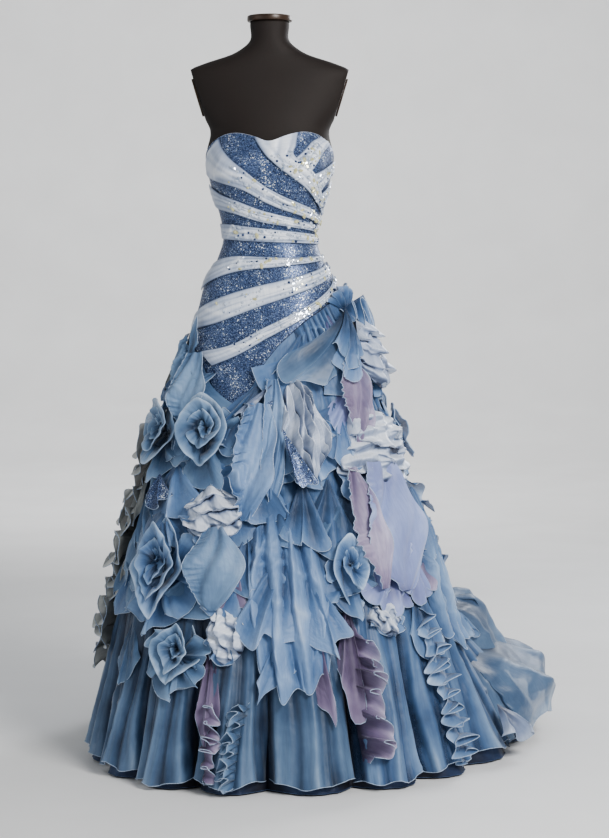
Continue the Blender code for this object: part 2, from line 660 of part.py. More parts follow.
def rosette(row, skirt, stations_per_turn=10):
    """A spiral strip, its turns standing off the skirt and leaning outwards."""
    stations = int(row.turns * stations_per_turn) + 1
    turn = np.linspace(0, 2 * math.pi * row.turns, stations)
    grown = turn / turn[-1]
    core, spread = 0.16, 0.17
    across, up = lozenge(turn + math.pi / 2, row.point)
    patch = Patch(row.bearing, row.height, row.tilt)
    lip = row.lip * (1 - 0.50 * grown) * (1 + 0.10 * np.sin(3.1 * turn))

    def sides(out):
        lines = []
        for share in (0.0, 1.0):
            size = core + (1 - core - spread) * grown + spread * share
            sideways, upward = across * size * row.half_width, up * size * row.half_height
            lines.append(patch.place(sideways, upward, out + share * lip, fluted=1.0 - share))
        return strip(lines)

    seat(row.name, sides, skirt, row.cloth)


def drape(row, skirt, columns=9, rows=5):
    """A loose sheet, caught at its top and falling in folds that deepen to the foot."""
    across = np.linspace(0, 1, columns + 1)[None, :]
    down = np.linspace(0, 1, rows + 1)[:, None]
    left = row.top_from + (row.foot_from - row.top_from) * down
    right = row.top_to + (row.foot_to - row.top_to) * down
    bearings = left + (right - left) * across
    top = row.top_start + (row.top_end - row.top_start) * across
    top = np.minimum(top, edge_height(SEAM, bearings[:1]) - 0.006)
    foot = row.foot - row.dip * (1 - (2 * across - 1) ** 2)
    heights = top + (foot - top) * down
    fold = 0.5 - 0.5 * np.cos(2 * math.pi * row.folds * across)
    loose = row.lift * eased(down * 1.2) * (0.25 + 0.75 * fold)
    seat(row.name, lambda out: laid(bearings, heights, out + loose, fluted=0.0), skirt, row.cloth)


def ruffle(row, skirt, stations_per_wave=4):
    """A gathered strip: sewn along its line, its free edge swinging from side to side."""
    stations = row.waves * stations_per_wave + 1
    share = np.linspace(0, 1, stations)
    knots = np.array([0.0, 0.5, 1.0])
    line = np.array([row.start, row.middle, row.end], float)
    bearings = through(knots, line[:, 0], share)
    heights = through(knots, line[:, 1], share)
    patches = [Patch(bearing, height) for bearing, height in zip(bearings, heights)]
    swing = row.swing * np.sin(2 * math.pi * row.waves * share)
    ends = np.minimum(1.0, np.minimum(share, 1 - share) * row.waves * 1.2 + 0.45)
    run = np.stack([
        np.gradient(bearings) * [patch.across_per_deg for patch in patches],
        np.gradient(heights) * [patch.up_per_metre for patch in patches],
    ])
    run /= np.linalg.norm(run, axis=0)

    def sides(out):
        lines = []
        for part in (0.0, 1.0):
            reach = row.width * part * ends
            aside, stand = reach * np.sin(swing), reach * np.cos(swing)
            places = []
            for k, patch in enumerate(patches):
                up = aside[k] * run[0, k] - row.droop * reach[k]
                up = max(up, (HEM_HEIGHT - heights[k]) / patch.up_per_metre)
                places.append(patch.place(-aside[k] * run[1, k], up, out + stand[k], 1.0 - part))
            lines.append(places)
        return strip(lines)

    seat(row.name, sides, skirt, row.cloth)


def main():
    clear_scene()
    dress_form()
    bodice = outside_of([
        bodice_panel("bodice_front", -90.0, 90.0, 32, 5, 7),
        bodice_panel("bodice_back_left", 90.0, 180.0, 8, 3, 2),
        bodice_panel("bodice_back_right", 180.0, 270.0, 8, 3, 2),
    ])
    back_placket(bodice)
    for row in BANDS:
        band(row, bodice)
    skirt = outside_of([gore(number) for number in range(GORES)])
    for row in ROSETTES:
        rosette(row, skirt)
    for row in DRAPES:
        drape(row, skirt)
    for row in RUFFLES:
        ruffle(row, skirt)


main()
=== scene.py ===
"""Looks for a strapless ballroom gown on a limbless dress form.

The gown faces -Y and +X is the wearer's left.  Cloth places are given as in the part: a bearing,
in degrees round the body from the centre front towards +X, a height above the floor, and how far
out the point lies from the figure, the smooth surface that the bodice and the skirt follow.
"""

import math
from collections import namedtuple

import bpy
import numpy as np
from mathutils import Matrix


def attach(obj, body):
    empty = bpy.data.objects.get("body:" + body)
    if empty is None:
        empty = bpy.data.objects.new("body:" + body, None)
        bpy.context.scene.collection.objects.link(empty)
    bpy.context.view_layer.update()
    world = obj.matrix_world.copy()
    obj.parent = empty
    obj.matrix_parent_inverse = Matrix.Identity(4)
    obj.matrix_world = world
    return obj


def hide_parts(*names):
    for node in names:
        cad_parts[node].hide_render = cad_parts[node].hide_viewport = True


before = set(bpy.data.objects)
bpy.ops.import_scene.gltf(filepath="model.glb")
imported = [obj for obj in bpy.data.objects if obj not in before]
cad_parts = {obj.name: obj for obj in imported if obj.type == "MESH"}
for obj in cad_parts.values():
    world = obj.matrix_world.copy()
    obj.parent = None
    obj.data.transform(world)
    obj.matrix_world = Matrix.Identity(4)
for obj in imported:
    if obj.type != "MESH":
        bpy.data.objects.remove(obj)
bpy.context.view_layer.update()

# ---------------------------------------------------------------- sizes, in metres
CLOTH = 0.0016
SHELL_OUT = SKIRT_OUT = -0.0034  # where the inner sides of bodice and skirt lie
SEAM_GAP = 0.0005
SEAM_LAP = 0.003  # how far from the waist seam the pieces sewn beside it start
HEM_HEIGHT = 0.0040
HEM_RADIUS = 0.0009
GORES = 8
GORE_DEG = 360.0 / GORES
FLUTES_PER_GORE = 2
FLUTE_DEG = GORE_DEG / FLUTES_PER_GORE
FLUTE_DEPTH = 0.055
FLUTE_START = 0.420
PLACKET_HALF_DEG = 7.0

FORM_OUT = -0.0050
FORM_BUST_EASE = 0.15
FORM_HIP_HEIGHT = 0.985
FORM_HIP_TAPER = 0.22
TORSO_FOOT = 0.862
NECK_TOP = 1.640
ARM_CUT_FROM = 1.400
ARM_CUT_HALF_WIDTH = 0.136
ARM_CUT_LEAN = 0.30
CAP_RADIUS = 0.050
CAP_THICKNESS = 0.013
CAP_BEVEL = 0.003
POLE_RADIUS = 0.016
COLLAR_RADIUS = 0.046
FOOT_RADIUS = 0.190
FOOT_THICKNESS = 0.020
FOOT_BEVEL = 0.012

SQUARENESS = 2.15
BUST_HEIGHT = 1.305
BUST_BEARING = 33.0
BUST_REACH = 0.020
BUST_SPREAD_DEG = 22.0
BUST_SPREAD_UP = 0.050
TRAIN_BEARING = 121.0
TRAIN_SPREAD_DEG = 33.0
TRAIN_REACH = 0.205
TRAIN_START = 0.320

# Heights, each with the half widths to -X and +X and the depths to the front and the back.
SECTIONS = np.array([
    (0.000, 0.404, 0.486, 0.448, 0.800), (0.050, 0.392, 0.466, 0.434, 0.710),
    (0.120, 0.378, 0.444, 0.416, 0.610), (0.220, 0.356, 0.412, 0.386, 0.508),
    (0.320, 0.334, 0.382, 0.352, 0.428), (0.420, 0.312, 0.354, 0.316, 0.362),
    (0.520, 0.288, 0.324, 0.276, 0.304), (0.620, 0.262, 0.292, 0.236, 0.254),
    (0.720, 0.236, 0.260, 0.196, 0.212), (0.820, 0.210, 0.228, 0.160, 0.176),
    (0.900, 0.190, 0.200, 0.134, 0.150), (0.960, 0.175, 0.180, 0.116, 0.134),
    (1.010, 0.161, 0.163, 0.106, 0.122), (1.062, 0.147, 0.147, 0.098, 0.108),
    (1.116, 0.119, 0.119, 0.088, 0.086), (1.161, 0.106, 0.106, 0.082, 0.074),
    (1.206, 0.1125, 0.1125, 0.090, 0.080), (1.260, 0.129, 0.129, 0.102, 0.092),
    (1.310, 0.141, 0.141, 0.108, 0.099), (1.350, 0.146, 0.146, 0.104, 0.100),
    (1.400, 0.138, 0.138, 0.092, 0.098), (1.450, 0.163, 0.163, 0.078, 0.096),
    (1.500, 0.181, 0.181, 0.064, 0.088), (1.532, 0.186, 0.186, 0.054, 0.074),
    (1.550, 0.142, 0.142, 0.050, 0.066), (1.566, 0.092, 0.092, 0.048, 0.058),
    (1.585, 0.060, 0.060, 0.048, 0.050), (1.640, 0.048, 0.048, 0.048, 0.048),
])

# The top edge of the bodice and the seam between bodice and skirt, as (bearing, height).
NECKLINE = [
    (-180, 1.272), (-130, 1.280), (-100, 1.300), (-88, 1.330), (-74, 1.356), (-62, 1.372),
    (-48, 1.384), (-27, 1.389), (-12, 1.381), (0, 1.370), (12, 1.381), (27, 1.391), (48, 1.388),
    (66, 1.372), (80, 1.350), (92, 1.326), (104, 1.300), (130, 1.280), (180, 1.272),
]
SEAM = [
    (-180, 1.010), (-130, 0.985), (-90, 0.962), (-68, 0.928), (-54, 0.900), (-43, 0.868),
    (-34, 0.830), (-26, 0.802), (-17, 0.806), (-9, 0.838), (-3, 0.882), (4, 0.920), (12, 0.946),
    (24, 0.975), (40, 1.000), (60, 1.024), (90, 1.050), (130, 1.040), (180, 1.010),
]

# A pale band lies between two edges, each through the same number of (bearing, height) points,
# from its outer end to where the bands draw together at the wearer's left side.  raised is how
# far it lies over the ends of the others.
Band = namedtuple("Band", "name upper lower raised", defaults=(0.0,))
BANDS = [Band(*row) for row in (
    ("band_left_cup", ((-50, 1.379), (-24, 1.318), (10, 1.254), (84, 1.203)),
     ((-86, 1.298), (-31, 1.270), (12, 1.221), (80, 1.190))),
    ("band_under_bust", ((-88, 1.282), (-40, 1.247), (6, 1.212), (76, 1.186)),
     ((-88, 1.229), (-44, 1.214), (4, 1.189), (74, 1.173))),
    ("band_above_waist", ((-88, 1.194), (-42, 1.189), (6, 1.178), (78, 1.167)),
     ((-88, 1.160), (-36, 1.153), (22, 1.148), (82, 1.146))),
    ("band_waist", ((-88, 1.106), (-38, 1.120), (18, 1.116), (84, 1.122)),
     ((-88, 1.043), (-40, 1.080), (12, 1.096), (82, 1.113))),
    ("band_high_hip", ((-88, 0.990), (-44, 1.028), (14, 1.069), (84, 1.107)),
     ((-80, 0.952), (-38, 0.974), (14, 1.029), (84, 1.086))),
    ("band_low_hip", ((-52, 0.910), (-24, 0.927), (12, 0.987), (84, 1.081)),
     ((-38, 0.878), (-16, 0.908), (14, 0.966), (80, 1.060))),
    ("band_centre_cup", ((28, 1.402), (22, 1.362), (20, 1.338), (36, 1.303), (57, 1.262), (82, 1.219)),
     ((-14, 1.386), (-5, 1.348), (1, 1.327), (13, 1.300), (42, 1.254), (80, 1.211)), 0.0014),
    ("band_right_cup", ((67, 1.366), (53, 1.350), (43, 1.330), (33, 1.300)),
     ((51, 1.382), (38, 1.370), (30, 1.354), (19, 1.330))),
    ("band_right_side", ((88, 1.303), (76, 1.294), (66, 1.283), (55, 1.258)),
     ((88, 1.333), (74, 1.327), (58, 1.315), (36, 1.298))),
    ("band_underarm", ((89, 1.289), (76, 1.274), (58, 1.256)),
     ((89, 1.226), (77, 1.235), (60, 1.250))),
)]

# A rosette is a strip wound into a spiral, its inner edge sewn down and its lip standing out; a
# satin one is a sheet drawn up into tucks, and the long one a leaf, within the same outline.
# point is 2 for a round spiral and less for a lozenge; tilt turns it on the skirt, in degrees.
Rosette = namedtuple("Rosette", "name bearing height half_width half_height lip point tilt look")
ROSETTES = [Rosette(*row) for row in (
    ("rose_left_bud", -69, 0.725, 0.076, 0.094, 0.052, 1.5, 8, "slate"),
    ("rose_left_front", -33, 0.722, 0.070, 0.100, 0.054, 1.6, 8, "slate"),
    ("rose_satin_left", -23, 0.560, 0.066, 0.060, 0.044, 1.7, 4, "satin"),
    ("rose_left_large", -43, 0.432, 0.084, 0.125, 0.056, 1.25, 4, "blue"),
    ("rose_left_low", -31, 0.271, 0.060, 0.079, 0.048, 1.3, -6, "slate"),
    ("rose_satin_low", -13, 0.320, 0.042, 0.062, 0.040, 1.5, 8, "satin"),
    ("rose_centre_long", -6, 0.668, 0.046, 0.124, 0.046, 1.6, -6, "pale"),
    ("rose_satin_fan", 15, 0.736, 0.047, 0.112, 0.044, 1.5, 5, "satin"),
    ("rose_satin_right", 58, 0.692, 0.112, 0.098, 0.050, 1.35, 24, "satin"),
    ("rose_satin_hip", 84, 0.888, 0.070, 0.086, 0.044, 1.6, 20, "satin"),
    ("rose_satin_tip", 39, 0.345, 0.041, 0.038, 0.034, 1.4, 0, "satin"),
    ("rose_centre_folds", 27.5, 0.441, 0.046, 0.086, 0.050, 1.8, 0, "blue"),
    ("rose_right_side", 98, 0.706, 0.058, 0.086, 0.050, 1.5, -6, "blue"),
    ("rose_back_left", 128, 0.770, 0.080, 0.096, 0.052, 1.5, -12, "blue"),
    ("rose_back_low", 160, 0.500, 0.088, 0.118, 0.054, 1.4, 10, "blue"),
    ("rose_back_right", 216, 0.760, 0.080, 0.096, 0.052, 1.6, 12, "satin"),
    ("rose_back_side", 240, 0.500, 0.084, 0.116, 0.054, 1.4, -8, "slate"),
)]

# A drape is a loose sheet caught along its top edge.  Bearings are of its two sides at the top
# and at the foot, heights of the two top corners and of the foot, and dip lowers the foot's middle.
Drape = namedtuple(
    "Drape", "name look top_from top_to foot_from foot_to top_start top_end foot dip folds lift")
DRAPES = [Drape(*row) for row in (
    ("drape_left_hip", "slate", -90, -44, -88, -38, 0.948, 0.862, 0.826, 0.000, 4, 0.028),
    ("drape_right_hip", "blue", 8, 60, 30, 62, 0.926, 1.010, 0.826, 0.000, 8, 0.022),
    ("drape_left_front", "slate", -27, -12, -25, -12, 0.480, 0.480, 0.388, 0.010, 2, 0.030),
    ("drape_centre", "pale", -10, 17, -2, 17, 0.515, 0.605, 0.270, 0.070, 4, 0.044),
    ("drape_right_front", "lilac", 38, 66, 38, 52, 0.582, 0.582, 0.394, 0.000, 2, 0.036),
    ("drape_right_side", "blue", 69, 100, 71, 101, 0.585, 0.585, 0.280, 0.030, 4, 0.044),
)]

# A ruffle is a strip gathered along a line and free along the other edge, which swings from
# side to side.  The line runs through three (bearing, height) points; droop lets the free edge
# hang, lean is how far it leans from straight out, in degrees, and to which side, and curl is how
# far the edge goes back and forth along the line.  Some have more waves than their solids.
Ruffle = namedtuple("Ruffle", "name look line width waves swing droop lean curl",
                    defaults=(45, 0.42))
RUFFLES = [Ruffle(*row) for row in (
    ("ruffle_right_hip", "pale", ((64, 1.000), (82, 1.004), (112, 1.008)), 0.050, 8, 0.70, 0.10, -15),
    ("ruffle_left_edge", "taupe", ((-99, 0.780), (-96, 0.480), (-92, 0.190)), 0.056, 12, 0.85, 0.30, 14),
    ("ruffle_rose_left", "rose", ((-19, 0.205), (-19, 0.115), (-18, 0.020)), 0.040, 6, 0.70, 0.10, 42, 0.26),
    ("ruffle_rose_right", "rose", ((26, 0.335), (24, 0.220), (25, 0.060)), 0.060, 7, 0.75, 0.20, 45, 0.26),
    ("ruffle_centre_low", "slate", ((-4, 0.190), (-7, 0.100), (-8, 0.014)), 0.044, 10, 0.75, 0.10, -46),
    ("ruffle_right_low", "blue", ((59, 0.370), (61, 0.190), (59, 0.020)), 0.056, 11, 0.80, 0.15, -46, 0.28),
    ("ruffle_back", "slate", ((190, 0.930), (186, 0.640), (196, 0.300)), 0.060, 8, 0.80, 0.25, -45),
    ("ruffle_back_left", "blue", ((159, 0.940), (155, 0.800), (150, 0.660)), 0.050, 4, 0.80, 0.25),
    ("ruffle_train_upper", "mist", ((101, 0.215), (124, 0.205), (156, 0.180)), 0.090, 5, 0.50, 0.30),
    ("ruffle_train_lower", "mist", ((84, 0.075), (120, 0.090), (162, 0.080)), 0.090, 7, 0.55, 0.30),
)]

# ---------------------------------------------------------------- the figure
def eased(x):
    """A smooth step from 0 to 1."""
    x = np.clip(x, 0.0, 1.0)
    return x * x * (3.0 - 2.0 * x)


def through(knots, values, at):
    """A smooth curve through values at increasing knots."""
    at = np.clip(at, knots[0], knots[-1])
    index = np.clip(np.searchsorted(knots, at, side="right") - 1, 0, len(knots) - 2)
    slope = np.gradient(values, knots)
    span = knots[index + 1] - knots[index]
    t = (at - knots[index]) / span
    return (
        (2 * t**3 - 3 * t**2 + 1) * values[index]
        + (t**3 - 2 * t**2 + t) * span * slope[index]
        + (-2 * t**3 + 3 * t**2) * values[index + 1]
        + (t**3 - t**2) * span * slope[index + 1]
    )


def line_at(points, share):
    """The bearing and the height a share of the way along a smooth line through points."""
    points = np.array(points, float)
    knots = np.linspace(0, 1, len(points))
    return [through(knots, points[:, axis], share) for axis in range(2)]


def bust(bearing, height):
    """How far the two cups stand out."""
    wrapped = (bearing + 180.0) % 360.0 - 180.0
    rise = ((height - BUST_HEIGHT) / BUST_SPREAD_UP) ** 2
    return sum(
        BUST_REACH * np.exp(-(((wrapped - side) / BUST_SPREAD_DEG) ** 2) - rise)
        for side in (-BUST_BEARING, BUST_BEARING)
    )


def train(bearing, height):
    """How far the train stands out behind the wearer's left hip."""
    off = ((bearing % 360.0) - TRAIN_BEARING) / TRAIN_SPREAD_DEG
    return TRAIN_REACH * eased((TRAIN_START - height) / TRAIN_START) ** 0.7 * np.exp(-(off**2))


def flute(bearing, height):
    """How far the skirt's folds fall in: round crests and narrow valleys, deepest at the hem."""
    turn = np.radians(bearing) * GORES * FLUTES_PER_GORE / 2
    fall = 1.0 - np.abs(np.sin(turn)) ** 0.8
    return FLUTE_DEPTH * fall * eased((FLUTE_START - height) / FLUTE_START)


def ring(bearing, height, fluted):
    """Points on the smooth figure, with the skirt's folds if fluted."""
    turn = np.radians(bearing)
    sine, cosine = np.sin(turn), np.cos(turn)
    minus_x, plus_x, front, back = (
        through(SECTIONS[:, 0], SECTIONS[:, column], height) for column in range(1, 5)
    )
    across = np.where(sine < 0, minus_x, plus_x)
    deep = np.where(cosine > 0, front, back)
    x = across * np.sign(sine) * np.abs(sine) ** (2 / SQUARENESS)
    y = -deep * np.sign(cosine) * np.abs(cosine) ** (2 / SQUARENESS)
    reach = bust(bearing, height) + train(bearing, height) - fluted * flute(bearing, height)
    return np.stack([x + reach * sine, y - reach * cosine, height + 0.0 * x], axis=-1)


def figure(bearing, height, out=0.0, fluted=1.0):
    """Points at a distance out from the figure, square to it."""
    bearing, height, out, fluted = np.broadcast_arrays(
        *(np.asarray(value, float) for value in (bearing, height, out, fluted))
    )
    height = np.maximum(height, HEM_HEIGHT)
    step_deg, step_up = 0.5, 0.002
    around = ring(bearing + step_deg, height, fluted) - ring(bearing - step_deg, height, fluted)
    upward = ring(bearing, height + step_up, fluted) - ring(bearing, height - step_up, fluted)
    normal = unit(np.cross(around, upward))
    points = ring(bearing, height, fluted) + normal * out[..., None]
    points[..., 2] = np.maximum(points[..., 2], HEM_HEIGHT)
    return points


def scales(bearing, height):
    """Metres across for a degree of bearing, and along the figure for a metre of height."""
    here = figure(bearing, height, fluted=0.0)
    across = np.linalg.norm(figure(bearing + 1.0, height, fluted=0.0) - here, axis=-1)
    upward = np.linalg.norm(figure(bearing, height + 0.01, fluted=0.0) - here, axis=-1) / 0.01
    return across, upward


def spun(x, y, turn):
    """Flat places turned about their origin, by radians."""
    cosine, sine = math.cos(turn), math.sin(turn)
    return x * cosine - y * sine, x * sine + y * cosine


def placed(bearing, height, tilt, across, up, out):
    """Points at metres across and up from a place, turned by a tilt in degrees."""
    per_deg, per_metre = scales(np.asarray(bearing, float), np.asarray(height, float))
    across, up = spun(across, up, math.radians(tilt))
    return figure(bearing + across / per_deg, height + up / per_metre, out, 0.0)


def axes(columns, rows, start=0):
    """Shares along a sheet, from start to 1, and down it, from 0 to 1."""
    return np.linspace(start, 1, columns)[None, :], np.linspace(0, 1, rows)[:, None]


def edge_height(edge, bearing):
    """The height of an edge of the cloth at a bearing."""
    wrapped = (np.asarray(bearing, float) + 180.0) % 360.0 - 180.0
    points = np.array(edge, float)
    return through(points[:, 0], points[:, 1], wrapped)


def lozenge(turn, point):
    """A closed curve of half width 1, round for point 2 and a lozenge for point 1."""
    cosine, sine = np.cos(turn), np.sin(turn)
    radius = (np.abs(cosine) ** point + np.abs(sine) ** point) ** (-1 / point)
    return radius * cosine, radius * sine


# ---------------------------------------------------------------- uneven curves
CREASE_WIDTH = 0.006  # of the soft creases in organza
# The first seed of each kind of piece, so that no two pieces crease alike.
DRAPE_SEED, RUFFLE_SEED, FRILL_SEED, PANEL_SEED, UNDERLAY_SEED = 100, 200, 260, 300, 500
LEAF_SEED, BLADE_SEED, COLLAR_SEED, SCATTER_SEED, ROSE_SEED = 600, 660, 700, 800, 900


def unit(vectors):
    """Vectors of length 1 the same way."""
    return vectors / np.maximum(np.linalg.norm(vectors, axis=-1, keepdims=True), 1e-12)


def wander(x, seed, waves=4):
    """A smooth uneven curve between about -1 and 1, the same for the same seed."""
    draw = np.random.default_rng(seed)
    total, most = 0.0, 0.0
    for k in range(waves):
        size = 1.0 / (1.0 + 0.7 * k)
        total = total + size * np.sin(x * (0.7 + k + draw.random()) + math.tau * draw.random())
        most += size
    return total / most * 1.4


def zigzag(x, seed, waves=3):
    """As wander(), but of straight runs that meet in corners."""
    draw = np.random.default_rng(seed)
    total = 0.0
    for k in range(waves):
        place = x * (0.7 + k + draw.random()) / math.tau + draw.random()
        total = total + (4 * np.abs(place % 1.0 - 0.5) - 1) / (1.0 + 0.7 * k)
    return total / 1.6


def creases(u, v, seed, count, width):
    """Soft ridges along uneven lines that start and end on the sheet, between 0 and about 1."""
    draw = np.random.default_rng(seed)
    wide, long = float(np.ptp(u)), float(np.ptp(v))
    total = np.zeros(np.broadcast(u, v).shape)
    for _ in range(count):
        middle_u = u.min() + wide * draw.random()
        middle_v = v.min() + long * draw.random()
        way, reach = draw.random() * math.pi, (0.15 + 0.35 * draw.random()) * max(wide, long)
        along = (u - middle_u) * math.cos(way) + (v - middle_v) * math.sin(way)
        aside = (v - middle_v) * math.cos(way) - (u - middle_u) * math.sin(way)
        aside = aside + 0.15 * width * np.sin(along / width)
        total += np.exp(-((aside / width) ** 2) - (along / reach) ** 4) * (0.5 + 0.5 * draw.random())
    return total


def crumple(u, v, seed, pitch, waves=5):
    """Flat facets that meet in sharp creases, between about -1 and 1, a pitch apart."""
    draw = np.random.default_rng(seed)
    total = 0.0
    for _ in range(waves):
        way, phase = draw.random() * math.pi, draw.random()
        length = pitch * (0.9 + 1.3 * draw.random())
        place = (u * math.cos(way) + v * math.sin(way)) / length + phase
        total = total + np.abs(place % 1.0 * 2 - 1)
    return (total / waves - 0.5) * 2.4


# ---------------------------------------------------------------- materials
def node(tree, kind, inputs=None, **settings):
    """A shader node; each of the inputs is a value, or an output that is linked to it."""
    made = tree.nodes.new(kind)
    for key, value in settings.items():
        setattr(made, key, value)
    for key, value in (inputs or {}).items():
        if isinstance(value, bpy.types.NodeSocket):
            tree.links.new(value, made.inputs[key])
        else:
            made.inputs[key].default_value = value
    return made


def math_node(tree, operation, *values):
    """The result of a sum of values, each a number or an output."""
    return node(tree, "ShaderNodeMath", dict(enumerate(values)), operation=operation).outputs[0]


def mix(tree, blend, share, first, second):
    """Two colours, the second laid on the first."""
    inputs = {0: share, 6: first, 7: second}
    return node(tree, "ShaderNodeMix", inputs, data_type="RGBA", blend_type=blend).outputs[2]


def ramp(tree, factor, stops, interpolation="LINEAR"):
    """A colour for a value, from stops of (value, colour)."""
    made = node(tree, "ShaderNodeValToRGB", {0: factor})
    made.color_ramp.interpolation = interpolation
    elements = made.color_ramp.elements
    while len(elements) < len(stops):
        elements.new(0.5)
    for element, (place, colour) in zip(elements, stops):
        element.position, element.color = place, (*colour, 1.0)
    return made.outputs[0]


def noise(tree, vector, scale, detail=2.0, squash=None):
    """A noise value; squash stretches it along the sheet's own two directions."""
    if squash is not None:
        vector = node(tree, "ShaderNodeMapping", {"Vector": vector, "Scale": squash}).outputs[0]
    inputs = {"Vector": vector, "Scale": scale, "Detail": detail}
    return node(tree, "ShaderNodeTexNoise", inputs).outputs["Fac"]


def bump(tree, shader, height, strength, distance, *after):
    """Relief on a shader, over another relief if one comes after."""
    inputs = {"Height": height, "Strength": strength, "Distance": distance}
    made = node(tree, "ShaderNodeBump", {**inputs, **{"Normal": normal for normal in after}})
    tree.links.new(made.outputs[0], shader.inputs["Normal"])
    return made.outputs[0]


def new_material(name, roughness, **sockets):
    """A material with its tree, its shader, and places on the object and on the cloth as cut."""
    made = bpy.data.materials.new(name)
    made.use_nodes = True
    tree = made.node_tree
    shader = tree.nodes["Principled BSDF"]
    shader.inputs["Roughness"].default_value = roughness
    for key, value in sockets.items():
        shader.inputs[key.replace("_", " ")].default_value = value
    places = node(tree, "ShaderNodeTexCoord")
    return made, tree, shader, places.outputs["Object"], places.outputs["UV"]


# A dyed cloth and its painted shading: its slot, roughness, cover, crinkle and sheen, then its
# colours from painted shade in the hollows to painted highlight at the edges.  brushed is how far its gloss
# follows the thread.
DyeAndShade = namedtuple("DyeAndShade", "look name slot roughness cover crinkle sheen deep middle light pale brushed",
                 defaults=(0.0,))
DYES_AND_SHADES = [DyeAndShade(*row) for row in (
    ("blue", "organza_blue", "blue_organza", 0.50, 0.86, 0.55, 0.30,
     (0.012, 0.036, 0.090), (0.085, 0.168, 0.330), (0.240, 0.374, 0.580), (0.520, 0.655, 0.825)),
    ("slate", "organza_slate", "blue_organza", 0.52, 0.86, 0.55, 0.30,
     (0.016, 0.038, 0.084), (0.090, 0.170, 0.300), (0.235, 0.365, 0.545), (0.490, 0.620, 0.775)),
    ("pale", "organza_pale", "blue_organza", 0.48, 0.86, 0.55, 0.30,
     (0.024, 0.064, 0.155), (0.110, 0.210, 0.400), (0.285, 0.425, 0.655), (0.580, 0.695, 0.850)),
    ("rose", "organza_rose", "rose_organza", 0.52, 0.82, 0.40, 0.30,
     (0.036, 0.022, 0.070), (0.180, 0.135, 0.240), (0.370, 0.310, 0.450), (0.660, 0.600, 0.740)),
    ("lilac", "organza_lilac", "rose_organza", 0.46, 0.96, 0.30, 0.30,
     (0.060, 0.065, 0.170), (0.215, 0.250, 0.470), (0.305, 0.375, 0.640), (0.560, 0.625, 0.835)),
    ("taupe", "organza_taupe", "taupe_organza", 0.54, 0.94, 0.40, 0.25,
     (0.034, 0.040, 0.042), (0.200, 0.215, 0.215), (0.400, 0.415, 0.395), (0.680, 0.690, 0.650)),
    ("net", "net_navy", "blue_organza", 0.62, 1.00, 0.40, 0.10,
     (0.002, 0.004, 0.016), (0.008, 0.020, 0.060), (0.026, 0.055, 0.130), (0.080, 0.130, 0.240)),
    ("sheer", "organza_sheer", "blue_organza", 0.40, 0.70, 0.25, 0.30,
     (0.012, 0.036, 0.090), (0.085, 0.168, 0.330), (0.240, 0.374, 0.580), (0.520, 0.655, 0.825)),
    ("mist", "organza_mist", "blue_organza", 0.42, 0.82, 0.25, 0.30,
     (0.012, 0.026, 0.060), (0.062, 0.118, 0.215), (0.165, 0.262, 0.405), (0.380, 0.495, 0.650)),
    ("satin", "satin_pale", "white_satin", 0.33, 1.00, 0.22, 0.10,
     (0.016, 0.024, 0.060), (0.230, 0.285, 0.410), (0.540, 0.600, 0.710), (0.830, 0.865, 0.915), 0.35),
)]
# The four colours run from painted shade to painted highlight.
TONES = (0.02, 0.34, 0.68, 1.0)  # where a dye's four colours lie
CLOUDS, CLOUD_DEPTH = 9.0, 0.90  # uneven dyeing: patches to the metre and how far they change the tone
WEAVE = 1500.0  # threads to the metre
# Flakes, and flakes painted near white as glints, to the metre of glitter cloth.
FLAKES, PAINTED_GLINTS = 780.0, 470.0  # to the metre of glitter cloth


def cloth_material(dye_and_shade):
    """Cloth dyed unevenly in patches, with painted shade in its hollows and painted highlight at its edges,
    and fine creases with painted shade along them.
    """
    made, tree, shader, place, cut = new_material(
        dye_and_shade.name, dye_and_shade.roughness, Alpha=dye_and_shade.cover, Sheen_Weight=dye_and_shade.sheen, Anisotropic=dye_and_shade.brushed)
    # rise is the painted shading: painted shade in the hollows at 0, painted highlight at the edges at 1.
    rise = node(tree, "ShaderNodeAttribute", attribute_name="rise").outputs["Fac"]
    cloud = math_node(tree, "MULTIPLY_ADD", noise(tree, place, CLOUDS, 4.0), CLOUD_DEPTH, -CLOUD_DEPTH / 2)
    tone = math_node(tree, "ADD", rise, cloud)
    colour = ramp(tree, tone, list(zip(TONES, (dye_and_shade.deep, dye_and_shade.middle, dye_and_shade.light, dye_and_shade.pale))))
    streak = noise(tree, cut, 1.0, 3.0, squash=(260.0, 26.0, 1.0))
    # Painted shade along the fine creases.
    shade = ramp(tree, streak, [(0.30, (0.78, 0.80, 0.86)), (0.70, (1.0, 1.0, 1.0))])
    tree.links.new(mix(tree, "MULTIPLY", 0.8, colour, shade), shader.inputs["Base Color"])
    weave = bump(tree, shader, noise(tree, cut, WEAVE, 1.0), 0.12, 0.0003)
    folds = bump(tree, shader, streak, dye_and_shade.crinkle, 0.0016, weave)
    bump(tree, shader, noise(tree, cut, 64.0, 5.0), dye_and_shade.crinkle, 0.0048, folds)
    return made


